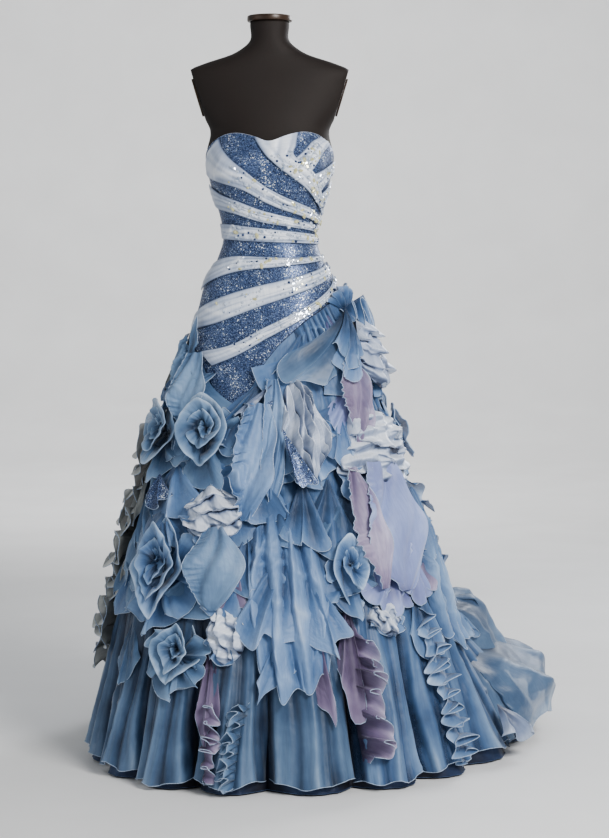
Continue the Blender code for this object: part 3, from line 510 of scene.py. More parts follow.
def glitter_material():
    """Blue cloth covered in flakes, each with its own colour and tilt, and a few near-white flakes that are
    painted glints.
    """
    made, tree, shader, place, _ = new_material("glitter_cloth", 0.35, Metallic=0.35, Sheen_Weight=0.1)
    values = []
    for scale in (FLAKES, PAINTED_GLINTS):
        inputs = {"Vector": place, "Scale": scale, "Randomness": 1.0}
        flake = node(tree, "ShaderNodeTexVoronoi", inputs).outputs["Color"]
        values.append(node(tree, "ShaderNodeSeparateColor", {0: flake}).outputs)
    patch = noise(tree, place, 34.0, 3.0)
    lift = math_node(tree, "MULTIPLY_ADD", patch, 0.40, -0.20)
    first = math_node(tree, "ADD", values[0][0], lift)
    fine = ramp(tree, first, [
        (0.0, (0.010, 0.020, 0.055)), (0.22, (0.034, 0.058, 0.145)), (0.50, (0.075, 0.125, 0.270)),
        (0.78, (0.170, 0.240, 0.400)), (0.95, (0.480, 0.570, 0.720)),
    ], "CONSTANT")
    # A few flakes painted near white: painted glints.
    second = math_node(tree, "ADD", values[1][1], lift)
    painted_glint = ramp(tree, second, [(0.0, (0.0, 0.0, 0.0)), (0.985, (0.90, 0.95, 1.0))], "CONSTANT")
    tree.links.new(mix(tree, "LIGHTEN", 1.0, fine, painted_glint), shader.inputs["Base Color"])
    rough = ramp(tree, values[0][1], [(0.0, (0.22, 0.22, 0.22)), (1.0, (0.6, 0.6, 0.6))])
    tree.links.new(rough, shader.inputs["Roughness"])
    tilt = bump(tree, shader, values[0][2], 0.9, 0.0012)
    bump(tree, shader, patch, 0.3, 0.0020, tilt)
    return made


def plain_material(name, roughness, dark, light, scale, squash=None, depth=0.0004, detail=4.0,
                   on_cut=False, **sockets):
    """A colour that varies with a noise, which also raises the surface a little."""
    made, tree, shader, place, cut = new_material(name, roughness, **sockets)
    value = noise(tree, cut if on_cut else place, scale, detail, squash)
    tree.links.new(ramp(tree, value, [(0.3, dark), (0.7, light)]), shader.inputs["Base Color"])
    bump(tree, shader, value, 0.4, depth)
    return made


LOOKS = {dye_and_shade.look: cloth_material(dye_and_shade) for dye_and_shade in DYES_AND_SHADES}
# Paler than the organza sheets: a painted highlight along the rolled edge.
LOOKS["hem"] = plain_material("rolled_hem", 0.40, (0.22, 0.30, 0.44), (0.50, 0.60, 0.74), 420.0,
                              detail=1.0, on_cut=True, Sheen_Weight=0.3)
LOOKS["glitter"] = glitter_material()
LOOKS["skin"] = plain_material("form_jersey", 0.72, (0.007, 0.004, 0.003), (0.015, 0.008, 0.006), 900.0,
                               Sheen_Weight=0.03)
LOOKS["wood"] = plain_material("form_wood", 0.35, (0.022, 0.012, 0.008), (0.060, 0.034, 0.020), 26.0,
                               (1.0, 1.0, 0.12))
LOOKS["paper"] = plain_material("floor_paper", 0.80, (0.80, 0.80, 0.80), (0.84, 0.84, 0.84), 3.0,
                                depth=0.0002)
for look, name, roughness, metallic, dark, light in (
    ("crystal", "stone_clear", 0.06, 0.30, (0.26, 0.34, 0.48), (0.86, 0.91, 0.98)),
    ("citrine", "stone_yellow", 0.08, 0.20, (0.44, 0.42, 0.22), (0.78, 0.76, 0.52)),
    ("sapphire", "stone_blue", 0.08, 0.30, (0.010, 0.022, 0.070), (0.050, 0.090, 0.220)),
):
    LOOKS[look] = plain_material(name, roughness, dark, light, 160.0, Metallic=metallic, Coat_Weight=0.8)
SLOTS = {dye_and_shade.look: dye_and_shade.slot for dye_and_shade in DYES_AND_SHADES}
SLOTS.update(glitter="glitter_cloth", skin="form_skin", wood="form_wood")


# ---------------------------------------------------------------- meshes
# A part's rise is its painted shading: painted shade at 0, painted highlight at 1.
Part = namedtuple("Part", "grid look rise")


def lengths(grid, axis):
    """How far each point lies along a grid, measured on the cloth."""
    steps = np.linalg.norm(np.diff(grid, axis=axis), axis=-1).mean(axis=1 - axis)
    return np.concatenate([[0.0], np.cumsum(steps)])


def link(made):
    """Put an object in the scene."""
    bpy.context.scene.collection.objects.link(made)
    return made


def mesh_of(name, parts, closed=False):
    """One object from grids of points, each with its look and its painted shading, kept as rise."""
    looks = list(dict.fromkeys(part.look for part in parts))
    points, faces, indices, cuts, painted_shadings, start = [], [], [], [], [], 0
    for part in parts:
        shape = part.grid.shape[:2]
        index = start + np.arange(shape[0] * shape[1]).reshape(shape)
        if closed:
            index = np.concatenate([index, index[:, :1]], axis=1)
        quads = np.stack([index[:-1, :-1], index[:-1, 1:], index[1:, 1:], index[1:, :-1]], axis=-1)
        points.append(part.grid.reshape(-1, 3))
        faces.append(quads.reshape(-1, 4))
        indices.append(np.full(len(faces[-1]), looks.index(part.look)))
        cut = np.broadcast_arrays(lengths(part.grid, 1)[None, :], lengths(part.grid, 0)[:, None])
        cuts.append(np.stack(cut, axis=-1).reshape(-1, 2))
        painted_shadings.append(np.broadcast_to(part.rise, shape).reshape(-1))
        start += len(points[-1])
    faces = np.concatenate(faces)
    mesh = bpy.data.meshes.new(name)
    mesh.from_pydata(np.concatenate(points), [], faces)
    for look in looks:
        mesh.materials.append(LOOKS[look])
    mesh.polygons.foreach_set("material_index", np.concatenate(indices))
    layer = mesh.uv_layers.new(name="cut")
    layer.data.foreach_set("uv", np.concatenate(cuts)[faces.reshape(-1)].reshape(-1))
    # rise carries the painted shading to the cloth materials.
    rise = mesh.attributes.new("rise", "FLOAT", "POINT")
    rise.data.foreach_set("value", np.concatenate(painted_shadings))
    mesh.shade_smooth()
    return link(bpy.data.objects.new(name, mesh))


def wear(piece, look, *nodes):
    """The piece rides on the one body and stands for its nodes, which it hides."""
    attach(piece, "root")
    if nodes:
        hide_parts(*nodes)
    return piece


HEM_STEPS = 6  # rows of the widest hem roll, fewer than in any sheet
LEAST_FILL, LONGEST = 0.31, 0.34  # the least shares of width times length that an area may be given


def cut_of(parts):
    """The width, length and flat area that a sheet was cut to, measured on the cloth."""
    grids = [part.grid for part in parts if len(part.grid) > HEM_STEPS]
    down = [np.diff(grid, axis=0) for grid in grids]
    along = [np.diff(grid, axis=1) for grid in grids]
    width = max(float(np.linalg.norm(d, axis=-1).sum(axis=0).max()) for d in down)
    area = sum(
        float(np.linalg.norm(np.cross(d[:, :-1], a[:-1]), axis=-1).sum())
        for d, a in zip(down, along)
    )
    if len(grids) > 1:
        return width, area / width, area
    length = float(np.linalg.norm(along[0], axis=-1).sum(axis=1).max())
    return width, min(length, area / (LONGEST * width)), area


def cloth(name, parts, held, rests_on, *nodes):
    """A sheet of cloth, or several as one piece; the size that it was cut to is worked out but not used."""
    parts = sorted(parts, key=lambda part: part.look == "hem")
    piece = wear(mesh_of(name, parts), parts[0].look, *nodes)
    width, length, area = cut_of(parts)
    width, length = round(width, 4), round(length, 4)
    area = round(min(max(area, LEAST_FILL * width * length), width * length), 5)
    return piece


def rolled_hem(grid, steps=5, look="hem"):
    """A narrow roll past the last row of a sheet."""
    edge = grid[-1]
    outward = unit(edge - grid[-2])
    normal = unit(np.cross(outward, np.gradient(edge, axis=0)))
    angle = np.linspace(0.0, 1.7 * math.pi, steps)[:, None, None]
    roll = edge + HEM_RADIUS * (normal * (1 - np.cos(angle)) + outward * np.sin(angle))
    roll[..., 2] = np.maximum(roll[..., 2], HEM_HEIGHT)
    # The roll takes the pale end of its cloth's painted shading: a painted highlight along the edge.
    return Part(roll, look, 0.9)


def hemmed(name, grid, look, rise, held, rests_on, *nodes, steps=5, hem="hem"):
    """One sheet of cloth with a rolled hem along its foot."""
    return cloth(name, [Part(grid, look, rise), rolled_hem(grid, steps, hem)], held, rests_on, *nodes)


def turned(name, profile, segments, look):
    """A solid of revolution about Z, from its profile of (radius, height)."""
    radius, height = np.array(profile, float).T[:, :, None]
    turn = np.linspace(0, math.tau, segments, endpoint=False)
    around = (radius * np.cos(turn), radius * np.sin(turn), height)
    grid = np.stack(np.broadcast_arrays(*around), axis=-1)
    return mesh_of(name, [Part(grid, look, 0.5)], closed=True)


# ---------------------------------------------------------------- the dress form
def form_out(bearing, height):
    """How far the form lies inside the figure: less bust, and hips that taper under the skirt."""
    taper = FORM_HIP_TAPER * np.maximum(0.0, FORM_HIP_HEIGHT - height)
    return FORM_OUT - FORM_BUST_EASE * bust(bearing, height) - taper


def torso():
    """The form's body, cut off flat at the neck, the foot and both arm openings."""
    bearings = np.linspace(0, 360, 96, endpoint=False)[None, :]
    heights = np.concatenate([
        np.linspace(TORSO_FOOT, ARM_CUT_FROM, 60)[:-1], np.linspace(ARM_CUT_FROM, NECK_TOP, 44)
    ])[:, None]
    points = figure(bearings, heights, form_out(bearings, heights))
    level = np.broadcast_to((heights >= ARM_CUT_FROM) | (heights == TORSO_FOOT), points.shape[:2])
    points[level, 2] = np.broadcast_to(heights, points.shape[:2])[level]
    limit = ARM_CUT_HALF_WIDTH + ARM_CUT_LEAN * (heights - ARM_CUT_FROM)
    limit = np.where(heights > ARM_CUT_FROM, limit, 1.0)
    points[..., 0] = np.clip(points[..., 0], -limit, limit)
    foot, top = (np.broadcast_to((0.0, 0.0, level), points[:1].shape) for level in (TORSO_FOOT, NECK_TOP))
    grid = np.concatenate([foot, points, top])
    wear(mesh_of("form_body", [Part(grid, "skin", 0.5)], closed=True), "skin", "form_torso")


TURNED_SEGMENTS, SHARP_DEG = 64, 40  # round the pole and the cap, and from where an edge is sharp


def stand_and_cap():
    """The neck cap and the pole on its round foot, and the varnish of the arm plates."""
    base, bevel = NECK_TOP + SEAM_GAP, CAP_BEVEL
    top, edge = base + CAP_THICKNESS, CAP_RADIUS - bevel
    bend = np.linspace(0, math.pi / 2, 5)
    lower = [(edge + bevel * math.sin(a), base + bevel - bevel * math.cos(a)) for a in bend]
    upper = [(edge + bevel * math.cos(a), top - bevel + bevel * math.sin(a)) for a in bend]
    cap = turned("form_cap", [(0, base), *lower, *upper, (0, top)], TURNED_SEGMENTS, "wood")
    plate, top, bevel = FOOT_THICKNESS, TORSO_FOOT - SEAM_GAP, FOOT_BEVEL
    pole = turned(
        "form_pole",
        [(0, 0), (FOOT_RADIUS, 0), (FOOT_RADIUS, plate - bevel / 2), (FOOT_RADIUS - bevel, plate),
         (POLE_RADIUS * 2, plate + bevel / 2), (POLE_RADIUS, plate + bevel * 2),
         (POLE_RADIUS, top - bevel * 2), (COLLAR_RADIUS, top - bevel), (COLLAR_RADIUS, top), (0, top)],
        TURNED_SEGMENTS, "wood",
    )
    for piece, node_name in ((cap, "form_neck_cap"), (pole, "form_stand")):
        wear(piece, "wood", node_name)
        piece.data.set_sharp_from_angle(angle=math.radians(SHARP_DEG))
    for side in ("left", "right"):
        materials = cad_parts[f"form_arm_plate_{side}"].data.materials
        materials.clear()
        materials.append(LOOKS["wood"])


# ---------------------------------------------------------------- the bodice
def bodice_panel(node_name, bearing_from, bearing_to, columns, rows):
    """A fitted panel of glitter cloth, with a narrow turned edge at the top."""
    bearings = np.linspace(bearing_from, bearing_to, columns + 1)[None, :]
    seam, top = edge_height(SEAM, bearings), edge_height(NECKLINE, bearings)
    heights = seam + (top - seam) * np.linspace(0, 1, rows + 1)[:, None]
    grid = figure(bearings, heights, SHELL_OUT + CLOTH)
    return hemmed(f"{node_name}_cloth", grid, "glitter", 0.5, "stretched", ["form_body"], node_name,
                  steps=6, hem="satin")


BAND_BODY = 0.0030  # how far a band stands off the bodice, apart from its pleats


def band_places(row, along, across):
    """The bearing and height of points on a band, along it and across it from 0 to 1."""
    edges = zip(line_at(row.upper, along), line_at(row.lower, along))
    bearings, heights = (upper * (1 - across) + lower * across for upper, lower in edges)
    low, high = edge_height(SEAM, bearings) + 0.002, edge_height(NECKLINE, bearings) - 0.001
    return bearings, np.clip(heights, low, high)


def band_out(along, across, seed):
    """How far a band stands off the bodice: turned edges, and soft pleats that draw together."""
    body = BAND_BODY * np.clip(np.sin(math.pi * across), 0, 1) ** 0.30
    drawn = 0.35 + 0.65 * eased(1.15 * along)
    total = 0.0
    for pleat in range(3):
        middle = 0.22 + 0.28 * pleat + 0.10 * wander(3.1 * along, seed * 3 + pleat)
        width = 0.055 + 0.035 * wander(2.3 * along, seed * 5 + pleat)
        total = total + np.exp(-(((across - middle) / width) ** 2))
    return 0.0002 + body + (0.0016 - 0.0028 * total) * drawn * body / BAND_BODY


def band(row, seed, bodice):
    """A pale satin band with soft pleats, laid on the bodice."""
    along, across = axes(131, 21)
    bearings, heights = band_places(row, along, across)
    out = band_out(along, across, seed)
    lines = creases(along * 0.3, across * 0.05, seed, 9, 0.005)
    out = out + 0.0014 * lines * np.sin(math.pi * across) ** 0.5
    grid = figure(bearings, heights, np.maximum(out, 0.0003) + row.raised)
    # Painted shading: lighter on the pleats and turned edges that stand out, darker in the hollows between
    # them.
    rise = 0.70 + 190.0 * (out - 0.0034)
    cloth(f"{row.name}_cloth", [Part(grid, "satin", rise)], "laid", [bodice], row.name)


def back_placket(bodice_pieces):
    """The strip over the closure at the centre back."""
    across, up = axes(17, 61, -1)
    bearings = 180.0 + across * PLACKET_HALF_DEG
    seam, top = edge_height(SEAM, bearings) + SEAM_LAP, edge_height(NECKLINE, bearings) - 0.002
    grid = figure(bearings, seam + (top - seam) * up, 0.0020 * (1 - np.abs(across) ** 6) - 0.0003)
    cloth("back_placket_cloth", [Part(grid, "satin", 0.7)], "laid", bodice_pieces, "back_placket")


Stone = namedtuple("Stone", "look share half_length half_width sides")
STONES = [Stone(*row) for row in (
    ("crystal", 0.40, 0.0019, 0.0019, 8),
    ("crystal", 0.22, 0.0032, 0.0032, 8),
    ("crystal", 0.12, 0.0072, 0.0038, 6),
    ("citrine", 0.09, 0.0064, 0.0038, 6),
    ("citrine", 0.05, 0.0026, 0.0026, 8),
    ("sapphire", 0.12, 0.0027, 0.0027, 8),
)]
# A stone's rings of corners, each with how far it stands out and its size, as shares.
STONE_RINGS = ((-0.15, 0.92), (0.35, 1.0), (1.0, 0.55))
STONE_DEPTH = 0.672  # over the stone's half width
STONE_GAP = 0.0046  # the least between two stones' middles
STONE_SEED = 7
STONES_PER_BAND = 170  # tries, of which those too near another stone fall out


def stones():
    """Faceted stones sewn along the bands, closer together where the bands draw in."""
    draw = np.random.default_rng(STONE_SEED)
    shares = np.array([kind.share for kind in STONES])
    taken, found = [], {kind.look: ([], []) for kind in STONES}
    for number, row in enumerate(BANDS):
        for _ in range(STONES_PER_BAND):
            along = np.array([1.0 - 0.70 * draw.random() ** 2.2])
            across = np.array([0.12 + 0.76 * draw.random()])
            kind = STONES[draw.choice(len(STONES), p=shares / shares.sum())]
            turn, grow = draw.random() * math.pi, 0.75 + 0.5 * draw.random()
            bearing, height = band_places(row, along, across)
            out = band_out(along, across, number) + row.raised
            centre = figure(bearing, height, out)[0]
            if taken and np.linalg.norm(np.array(taken) - centre, axis=1).min() < STONE_GAP:
                continue
            taken.append(centre)
            outward = unit(figure(bearing, height, out + 0.01)[0] - centre)
            aside = unit(figure(bearing + 1.0, height, out)[0] - centre)
            above = np.cross(outward, aside)
            angle = np.linspace(0, math.tau, kind.sides, endpoint=False)[:, None]
            x, y = spun(kind.half_length * np.cos(angle), kind.half_width * np.sin(angle), turn)
            points, faces = found[kind.look]
            rings = [len(points) + np.arange(kind.sides) + kind.sides * k for k in range(3)]
            for lift, size in STONE_RINGS:
                depth = lift * STONE_DEPTH * kind.half_width
                points.extend(centre + (aside * x + above * y) * size * grow + outward * depth)
            for low, high in zip(rings, rings[1:]):
                faces.extend(zip(low, np.roll(low, -1), np.roll(high, -1), high))
            faces += [tuple(rings[2]), tuple(rings[0][::-1])]
    for look, (points, faces) in found.items():
        mesh = bpy.data.meshes.new(f"stones_{look}")
        mesh.from_pydata(points, [], faces)
        mesh.materials.append(LOOKS[look])
        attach(link(bpy.data.objects.new(f"stones_{look}", mesh)), "root")


# ---------------------------------------------------------------- the skirt
def gore(number):
    """A panel of dark net under everything else, from the waist seam to the hem."""
    bearings = np.linspace(GORE_DEG * number, GORE_DEG * (number + 1), 53)[None, :]
    top = edge_height(SEAM, bearings) - SEAM_GAP
    heights = HEM_HEIGHT + (top - HEM_HEIGHT) * np.linspace(1, 0, 61)[:, None]
    gathers = wander(bearings * 1.1 + 2 * wander(heights * 6, number), 60) * 0.0022
    grid = figure(bearings, heights, SKIRT_OUT + CLOTH + np.clip(gathers, -0.0015, 0.0022))
    hollow = flute(bearings, heights) / FLUTE_DEPTH
    # Painted shade in the valleys of the skirt's folds, with a little random tone.
    rise = np.clip(0.60 - 0.9 * hollow + 0.1 * wander(heights * 9, 40 + number), 0, 1)
    return hemmed(f"skirt_net_{number + 1}", grid, "net", rise, "hung", ["form_body"],
                  f"skirt_gore_{number + 1}", hem="net")


UNDERLAY_FOOT = 0.385  # the mean height of the gathered organza's foot
UNDERLAY_LOOKS = ("blue", "blue", "slate", "blue", "slate", "slate", "slate", "blue")


def underlay(number, skirt):
    """Gathered organza over the net, from the waist seam to under the rosettes."""
    across, down = axes(91, 59)
    bearings = GORE_DEG * (number - 0.06 + 1.12 * across)
    turn = np.radians(bearings)
    top = edge_height(SEAM, bearings) - SEAM_LAP
    foot = UNDERLAY_FOOT + 0.020 * wander(5 * turn, 71) + 0.014 * np.cos(17 * turn + 2)
    heights = top + (foot - top) * down
    bend = 23 * turn + 1.7 * wander(11 * heights + 2.6 * turn, 72) + 0.8 * wander(31 * heights, 73)
    fold = 0.5 + 0.5 * np.sin(bend)
    minor = 0.5 + 0.5 * np.sin(2.7 * bend + 3 * wander(9 * heights, 74))
    deep = eased(down * 6) * (0.60 + 0.40 * eased(down * 1.6))
    out = 0.0015 + deep * (0.010 * fold**1.3 + 0.004 * minor * (1 - fold))
    out = out + 0.0030 * deep * creases(bearings * 0.0045, heights, UNDERLAY_SEED + number, 26, CREASE_WIDTH)
    grid = figure(bearings, heights, out, 0.0)
    # Painted shading: lighter where the cloth stands out and near the seam, darker in its folds.
    rise = np.clip(0.05 + 36.0 * out + 0.32 * (1 - eased(down * 7)), 0, 0.75)
    hemmed(f"underlay_{number + 1}", grid, UNDERLAY_LOOKS[number], rise, "hung", skirt, steps=4)


def petal(place, size, shape, seed, look):
    """A sheet gathered at a point and fanning out to a wavy rolled edge that stands off the skirt.

    place is the bearing, height, tilt and distance out of the gathered point, size the length and
    the lift of the edge, shape the half angle of the fan, how pointed it is and its folds.
    """
    bearing, height, tilt, base = place
    length, lift = size
    spread, point, folds = shape
    across, down = axes(14 + 9 * folds, 15, -1)
    phase = math.tau * folds * (0.5 * across + 0.07 * wander(2.2 * across + 1.2 * down, seed)) + seed
    angle = math.radians(spread) * (across + 0.34 / folds * down * np.sin(phase + 1.4))
    edge = 1 - point * np.abs(across) ** 0.8
    edge = edge * (1 + 0.05 * np.cos(phase) + 0.06 * wander(3 * across, seed + 1))
    reach = length * edge * (0.04 + 0.96 * down)
    fold = (0.5 + 0.5 * np.sin(phase)) ** 0.8 * (0.78 + 0.28 * wander(3.5 * across, seed + 4))
    rim = 1 - 0.80 * np.abs(across) ** 3
    out = lift * rim * (down**1.15 * (0.40 + 0.50 * fold) + 0.20 * np.sin(math.pi * down) * fold)
    out = out - 0.10 * lift * eased((down - 0.82) / 0.18)
    x, y = reach * np.sin(angle), -reach * np.cos(angle)
    crinkle = creases(x / length, y / length, seed, 6, 0.04) * (1 - down) * down
    grid = placed(bearing, height, tilt, x, y, base + out + 0.05 * length * crinkle)
    # Painted shading: painted shade at the gathered point and between the folds, painted highlight on the
    # fold crests and at the rolled edge.
    tone = 0.04 + 0.30 * down + 0.34 * fold * down**0.7 + 0.16 * down**8
    return [Part(grid, look, np.clip(tone, 0, 1)), rolled_hem(grid, 4)]


def teardrop(turn, point):
    """A closed curve of half width 1, round for point 2 and a lozenge for 1, drawn in at its foot."""
    across, up = lozenge(turn, point)
    foot = np.clip(-up, 0, None)
    return across * (1 - 0.30 * foot**1.4), up * (1 + 0.05 * foot)


LIP_RADIUS = 0.0013  # of the roll along a rosette's lip
COIL_PITCH = 0.0210  # metres between two turns of a rosette


def rose(row, seed, skirt):
    """A spiral of broad folded petals whose lips roll over, off its middle towards the top."""
    draw = np.random.default_rng(ROSE_SEED + seed)
    small = min(row.half_width, row.half_height)
    turns = np.clip(small / COIL_PITCH, 2.0, 3.5)
    pitch = 0.84 / turns
    along = np.linspace(0, 1, int(turns * 84))[None, :]
    turn = math.tau * turns * along + 2.1 * seed
    face = np.array([0, 0.14, 0.28, 0.42, 0.55, 0.67, 0.78, 0.87, 0.94, 1.0])[:, None]
    roll = np.linspace(0, 1.15 * math.pi, 6)[1:, None]
    lip = 0.12 + 0.88 * along**0.92 + 0.060 * wander(0.83 * turn, seed) * (0.4 + along)
    lip = lip + 0.022 * wander(3.1 * turn, seed + 2) * along
    stands = np.array([(0, 0.66), (0.3, 0.86), (0.65, 1.0), (0.88, 0.72), (1.0, 0.20)])
    stand = through(stands[:, 0], stands[:, 1], along)
    stand = stand * (1 + 0.12 * wander(1.3 * turn, seed + 5) + 0.05 * wander(4.3 * turn, seed + 7))
    notch, place = 0.0 * turn, float(turn[0, 0]) + 1.0
    while place < turn[0, -1]:
        notch = notch + np.exp(-(((turn - place) / 0.24) ** 2))
        place += draw.uniform(2.0, 4.0)
    lip, stand = lip - 0.055 * notch * along, stand * (1 - 0.16 * notch)
    wide = pitch * (1.60 + 0.60 * wander(0.6 * turn, seed + 8)) * (0.65 + 0.65 * along)
    deep = small * wide * (1.20 - 0.55 * along)
    flat = [lip - wide * (1 - face), row.lip * stand - deep * (1 - face) ** 1.35]
    curl = [lip + LIP_RADIUS / small * np.sin(roll), row.lip * stand - LIP_RADIUS * (1 - np.cos(roll))]
    share = np.concatenate([face, np.ones_like(roll)])
    size, out = (np.concatenate(pair) for pair in zip(flat, curl))
    gather = np.sin(9 * turn + 3 * wander(turn, seed + 3)) + 0.6 * np.sin(23 * turn)
    out = out + 0.0014 * gather * (1 - share) * share * 4
    across, up = teardrop(turn + 0.30 * (share - 1), row.point)
    across = across * size + 0.14 * (1 - along) * math.sin(seed * 1.7)
    up = up * size + 0.20 * (1 - along)
    # Painted shading: painted shade deep at each turn's root and towards the middle, painted highlight along
    # the lips, with a little random tone.
    tone = 0.41 + 0.25 * share + 0.32 * share**9 - 0.18 * (1 - along) + 0.09 * wander(2 * turn, seed + 6)
    tone = tone - 0.36 * (1 - share) ** 1.8
    grid = placed(row.bearing, row.height, row.tilt, across * row.half_width,
                  up * row.half_height, np.maximum(out, 0.002))
    cloth(f"{row.name}_cloth", [Part(grid, row.look, np.clip(tone, 0, 1))], "gathered", skirt, row.name)


def slopes(out, across, up):
    """How steeply a sheet rises towards one side and towards the top."""
    (out_q, out_p), (across_q, across_p), (up_q, up_p) = map(np.gradient, (out, across, up))
    turn = across_q * up_p - across_p * up_q
    turn = np.where(np.abs(turn) < 1e-9, 1e-9, turn)
    return (out_q * up_p - out_p * up_q) / turn, (across_q * out_p - across_p * out_q) / turn


# Each satin piece is drawn up into tucks: which way they run, in degrees, how many there are,
# how far they bunch towards one side, how far the piece stands over its neighbours, how deep
# the tucks and the creases between them are, and how narrow the painted shade is in the hollows
# under the tucks' lips.
Crush = namedtuple("Crush", "way tucks bunch out depth crease close", defaults=(0.022, 0.0085, 6))
CRUSHES = {
    "rose_satin_left": Crush(188, 4, 1.0, 0.010), "rose_satin_low": Crush(120, 3, 1.0, 0.006),
    "rose_satin_fan": Crush(-80, 7, 1.9, 0.018, 0.030, 0.0025, 4),
    "rose_satin_right": Crush(144, 4, 1.2, 0.014, 0.017, 0.0115),
    "rose_satin_hip": Crush(152, 4, 1.0, 0.026), "rose_satin_tip": Crush(150, 2, 1.0, 0.006),
    "rose_back_right": Crush(160, 4, 1.0, 0.006),
}
TUCK_ROWS = 22  # of points in each tuck
TUCK_FALL = 0.16  # the share of a tuck that turns back under its lip


def crushed(row, seed, skirt):
    """A satin piece drawn up into overlapping tucks with sharp lips, on a low dome."""
    crush = CRUSHES[row.name]
    q = np.linspace(-1, 1, crush.tucks * TUCK_ROWS + 1)[:, None]
    p = np.linspace(-1, 1, 77)[None, :]
    phase = crush.tucks * (0.5 + 0.5 * q) ** crush.bunch
    phase = phase + 0.42 * zigzag(2.3 * p + 1.1 * q, seed) + 0.08 * wander(5.5 * p - 2 * q, seed + 1)
    place = phase % 1.0
    rising = np.clip(place / (1 - TUCK_FALL), 0, 1)
    falling = np.clip((place - 1 + TUCK_FALL) / TUCK_FALL, 0, 1)
    swell = rising * (1 - falling)
    deep = 0.22 + 0.78 * eased(0.5 + 1.1 * wander(2.1 * p + 3.0 * q, seed + 2))
    inside = (1 - q**10) * (1 - p**12)
    over = np.clip(q + 0.60 / crush.tucks * swell * deep * inside, -1, 1)
    flat = p * np.sqrt(1 - over**2 / 2), over * np.sqrt(1 - p**2 / 2)
    across, up = spun(*flat, math.radians(crush.way))
    angle, size = np.arctan2(up, across), np.clip(np.hypot(across, up), 0, 1)
    reach = np.hypot(*lozenge(angle, row.point))
    reach = reach * (1.04 + 0.06 * np.cos(3 * angle + seed) + 0.05 * np.cos(5 * angle + 2 * seed))
    across, up = across * reach * row.half_width, up * reach * row.half_height
    dome = np.sqrt(1 - 0.98 * size**2)
    facet = crumple(across, up, seed, 0.026, 3)
    tucked = crush.depth * swell * deep + crush.crease * facet
    out = crush.out + row.lip * 0.46 * dome + tucked * np.sqrt(inside)
    grid = placed(row.bearing, row.height, row.tilt, across, up, np.maximum(out, 0.003))
    aside, above = slopes(out, across, up)
    # Painted shade in the hollows under the tucks' lips, and painted light and shade by how each facet
    # tilts: lighter where it faces up, darker where it faces down and towards one side.
    tone = 0.66 - 0.95 * deep * (1 - swell) ** crush.close
    tone = np.clip(tone - 0.30 * np.tanh(0.9 * above) - 0.16 * np.tanh(aside), 0, 1)
    cloth(f"{row.name}_cloth", [Part(grid, "satin", tone)], "gathered", skirt, row.name)


def blade(place, size, crinkle, seed, look):
    """A long leaf, widest at its middle, with raised sides of which one may be crinkled.

    place is as for petal(), size the length, half width and lift, crinkle the waves on one side.
    """
    bearing, height, tilt, base = place
    length, half, lift = size
    across, down = axes(41, 110, -1)
    wide = np.sin(math.pi * (0.10 + 0.88 * down**1.15)) ** 0.6 * (1 + 0.12 * wander(4 * down, seed))
    edge = np.clip(-across - 0.25, 0, 1) / 0.75
    phase = math.tau * 8 * down + 3.4 * wander(6 * down + 1.2 * across, seed + 1)
    ripple = crinkle * edge * (np.sin(phase) + 0.7 * np.sin(2.3 * phase + seed))
    ripple = ripple * (0.75 + 0.45 * wander(5 * down, seed + 4))
    x = half * wide * (across + 0.16 * wander(3 * down + across, seed + 2)) + 0.6 * ripple
    x = x + 0.22 * half * np.sin(2.2 * down + seed)
    y = -length * down + 0.5 * crinkle * edge * np.cos(phase)
    rim = 0.30 * np.abs(across) ** 3 + 0.34 * wander(3.5 * down + 2.2 * across, seed + 3)
    out = lift * wide * (0.62 + rim) + ripple
    grid = placed(bearing, height, tilt, x, y, base + np.maximum(out, 0.001))
    # Painted shading: lighter where the leaf is wide and on its raised sides and ripple crests, darker down
    # its crinkled side.
    tone = 0.30 + 0.34 * wide + 0.16 * np.abs(across) ** 4 + 14.0 * ripple - 0.16 * edge
    sides = grid.swapaxes(0, 1)
    return [Part(grid, look, np.clip(tone, 0, 1)), rolled_hem(sides, 4), rolled_hem(sides[::-1], 4)]


def long_leaf(row, seed, skirt):
    """The long pale leaf at the front, crinkled down one side."""
    place = (row.bearing + 1.5, row.height + row.half_height, row.tilt, 0.018)
    parts = blade(place, (2.1 * row.half_height, 0.82 * row.half_width, 0.030), 0.009, seed, row.look)
    cloth(f"{row.name}_cloth", parts, "gathered", skirt, row.name)


def collar(row, seed):
    """The loose petals that a rosette sits on, larger below it."""
    draw = np.random.default_rng(COLLAR_SEED + seed)
    parts = []
    for number, way in enumerate((-66, -4, 62) if row.look == "satin" else (-104, -52, 4, 54, 106)):
        way = way + draw.uniform(-14, 14)
        sine, cosine = math.sin(math.radians(way)), math.cos(math.radians(way))
        reach = math.hypot(row.half_width * sine, row.half_height * cosine)
        place = (row.bearing, row.height, row.tilt + way, 0.008)
        size = (reach * draw.uniform(1.12, 1.34), row.lip * draw.uniform(0.50, 0.72))
        shape = (draw.uniform(30, 42), draw.uniform(0.15, 0.35), int(draw.integers(1, 3)))
        look = "pale" if row.look == "satin" else row.look
        parts += petal(place, size, shape, seed * 17 + number, look)
    return parts


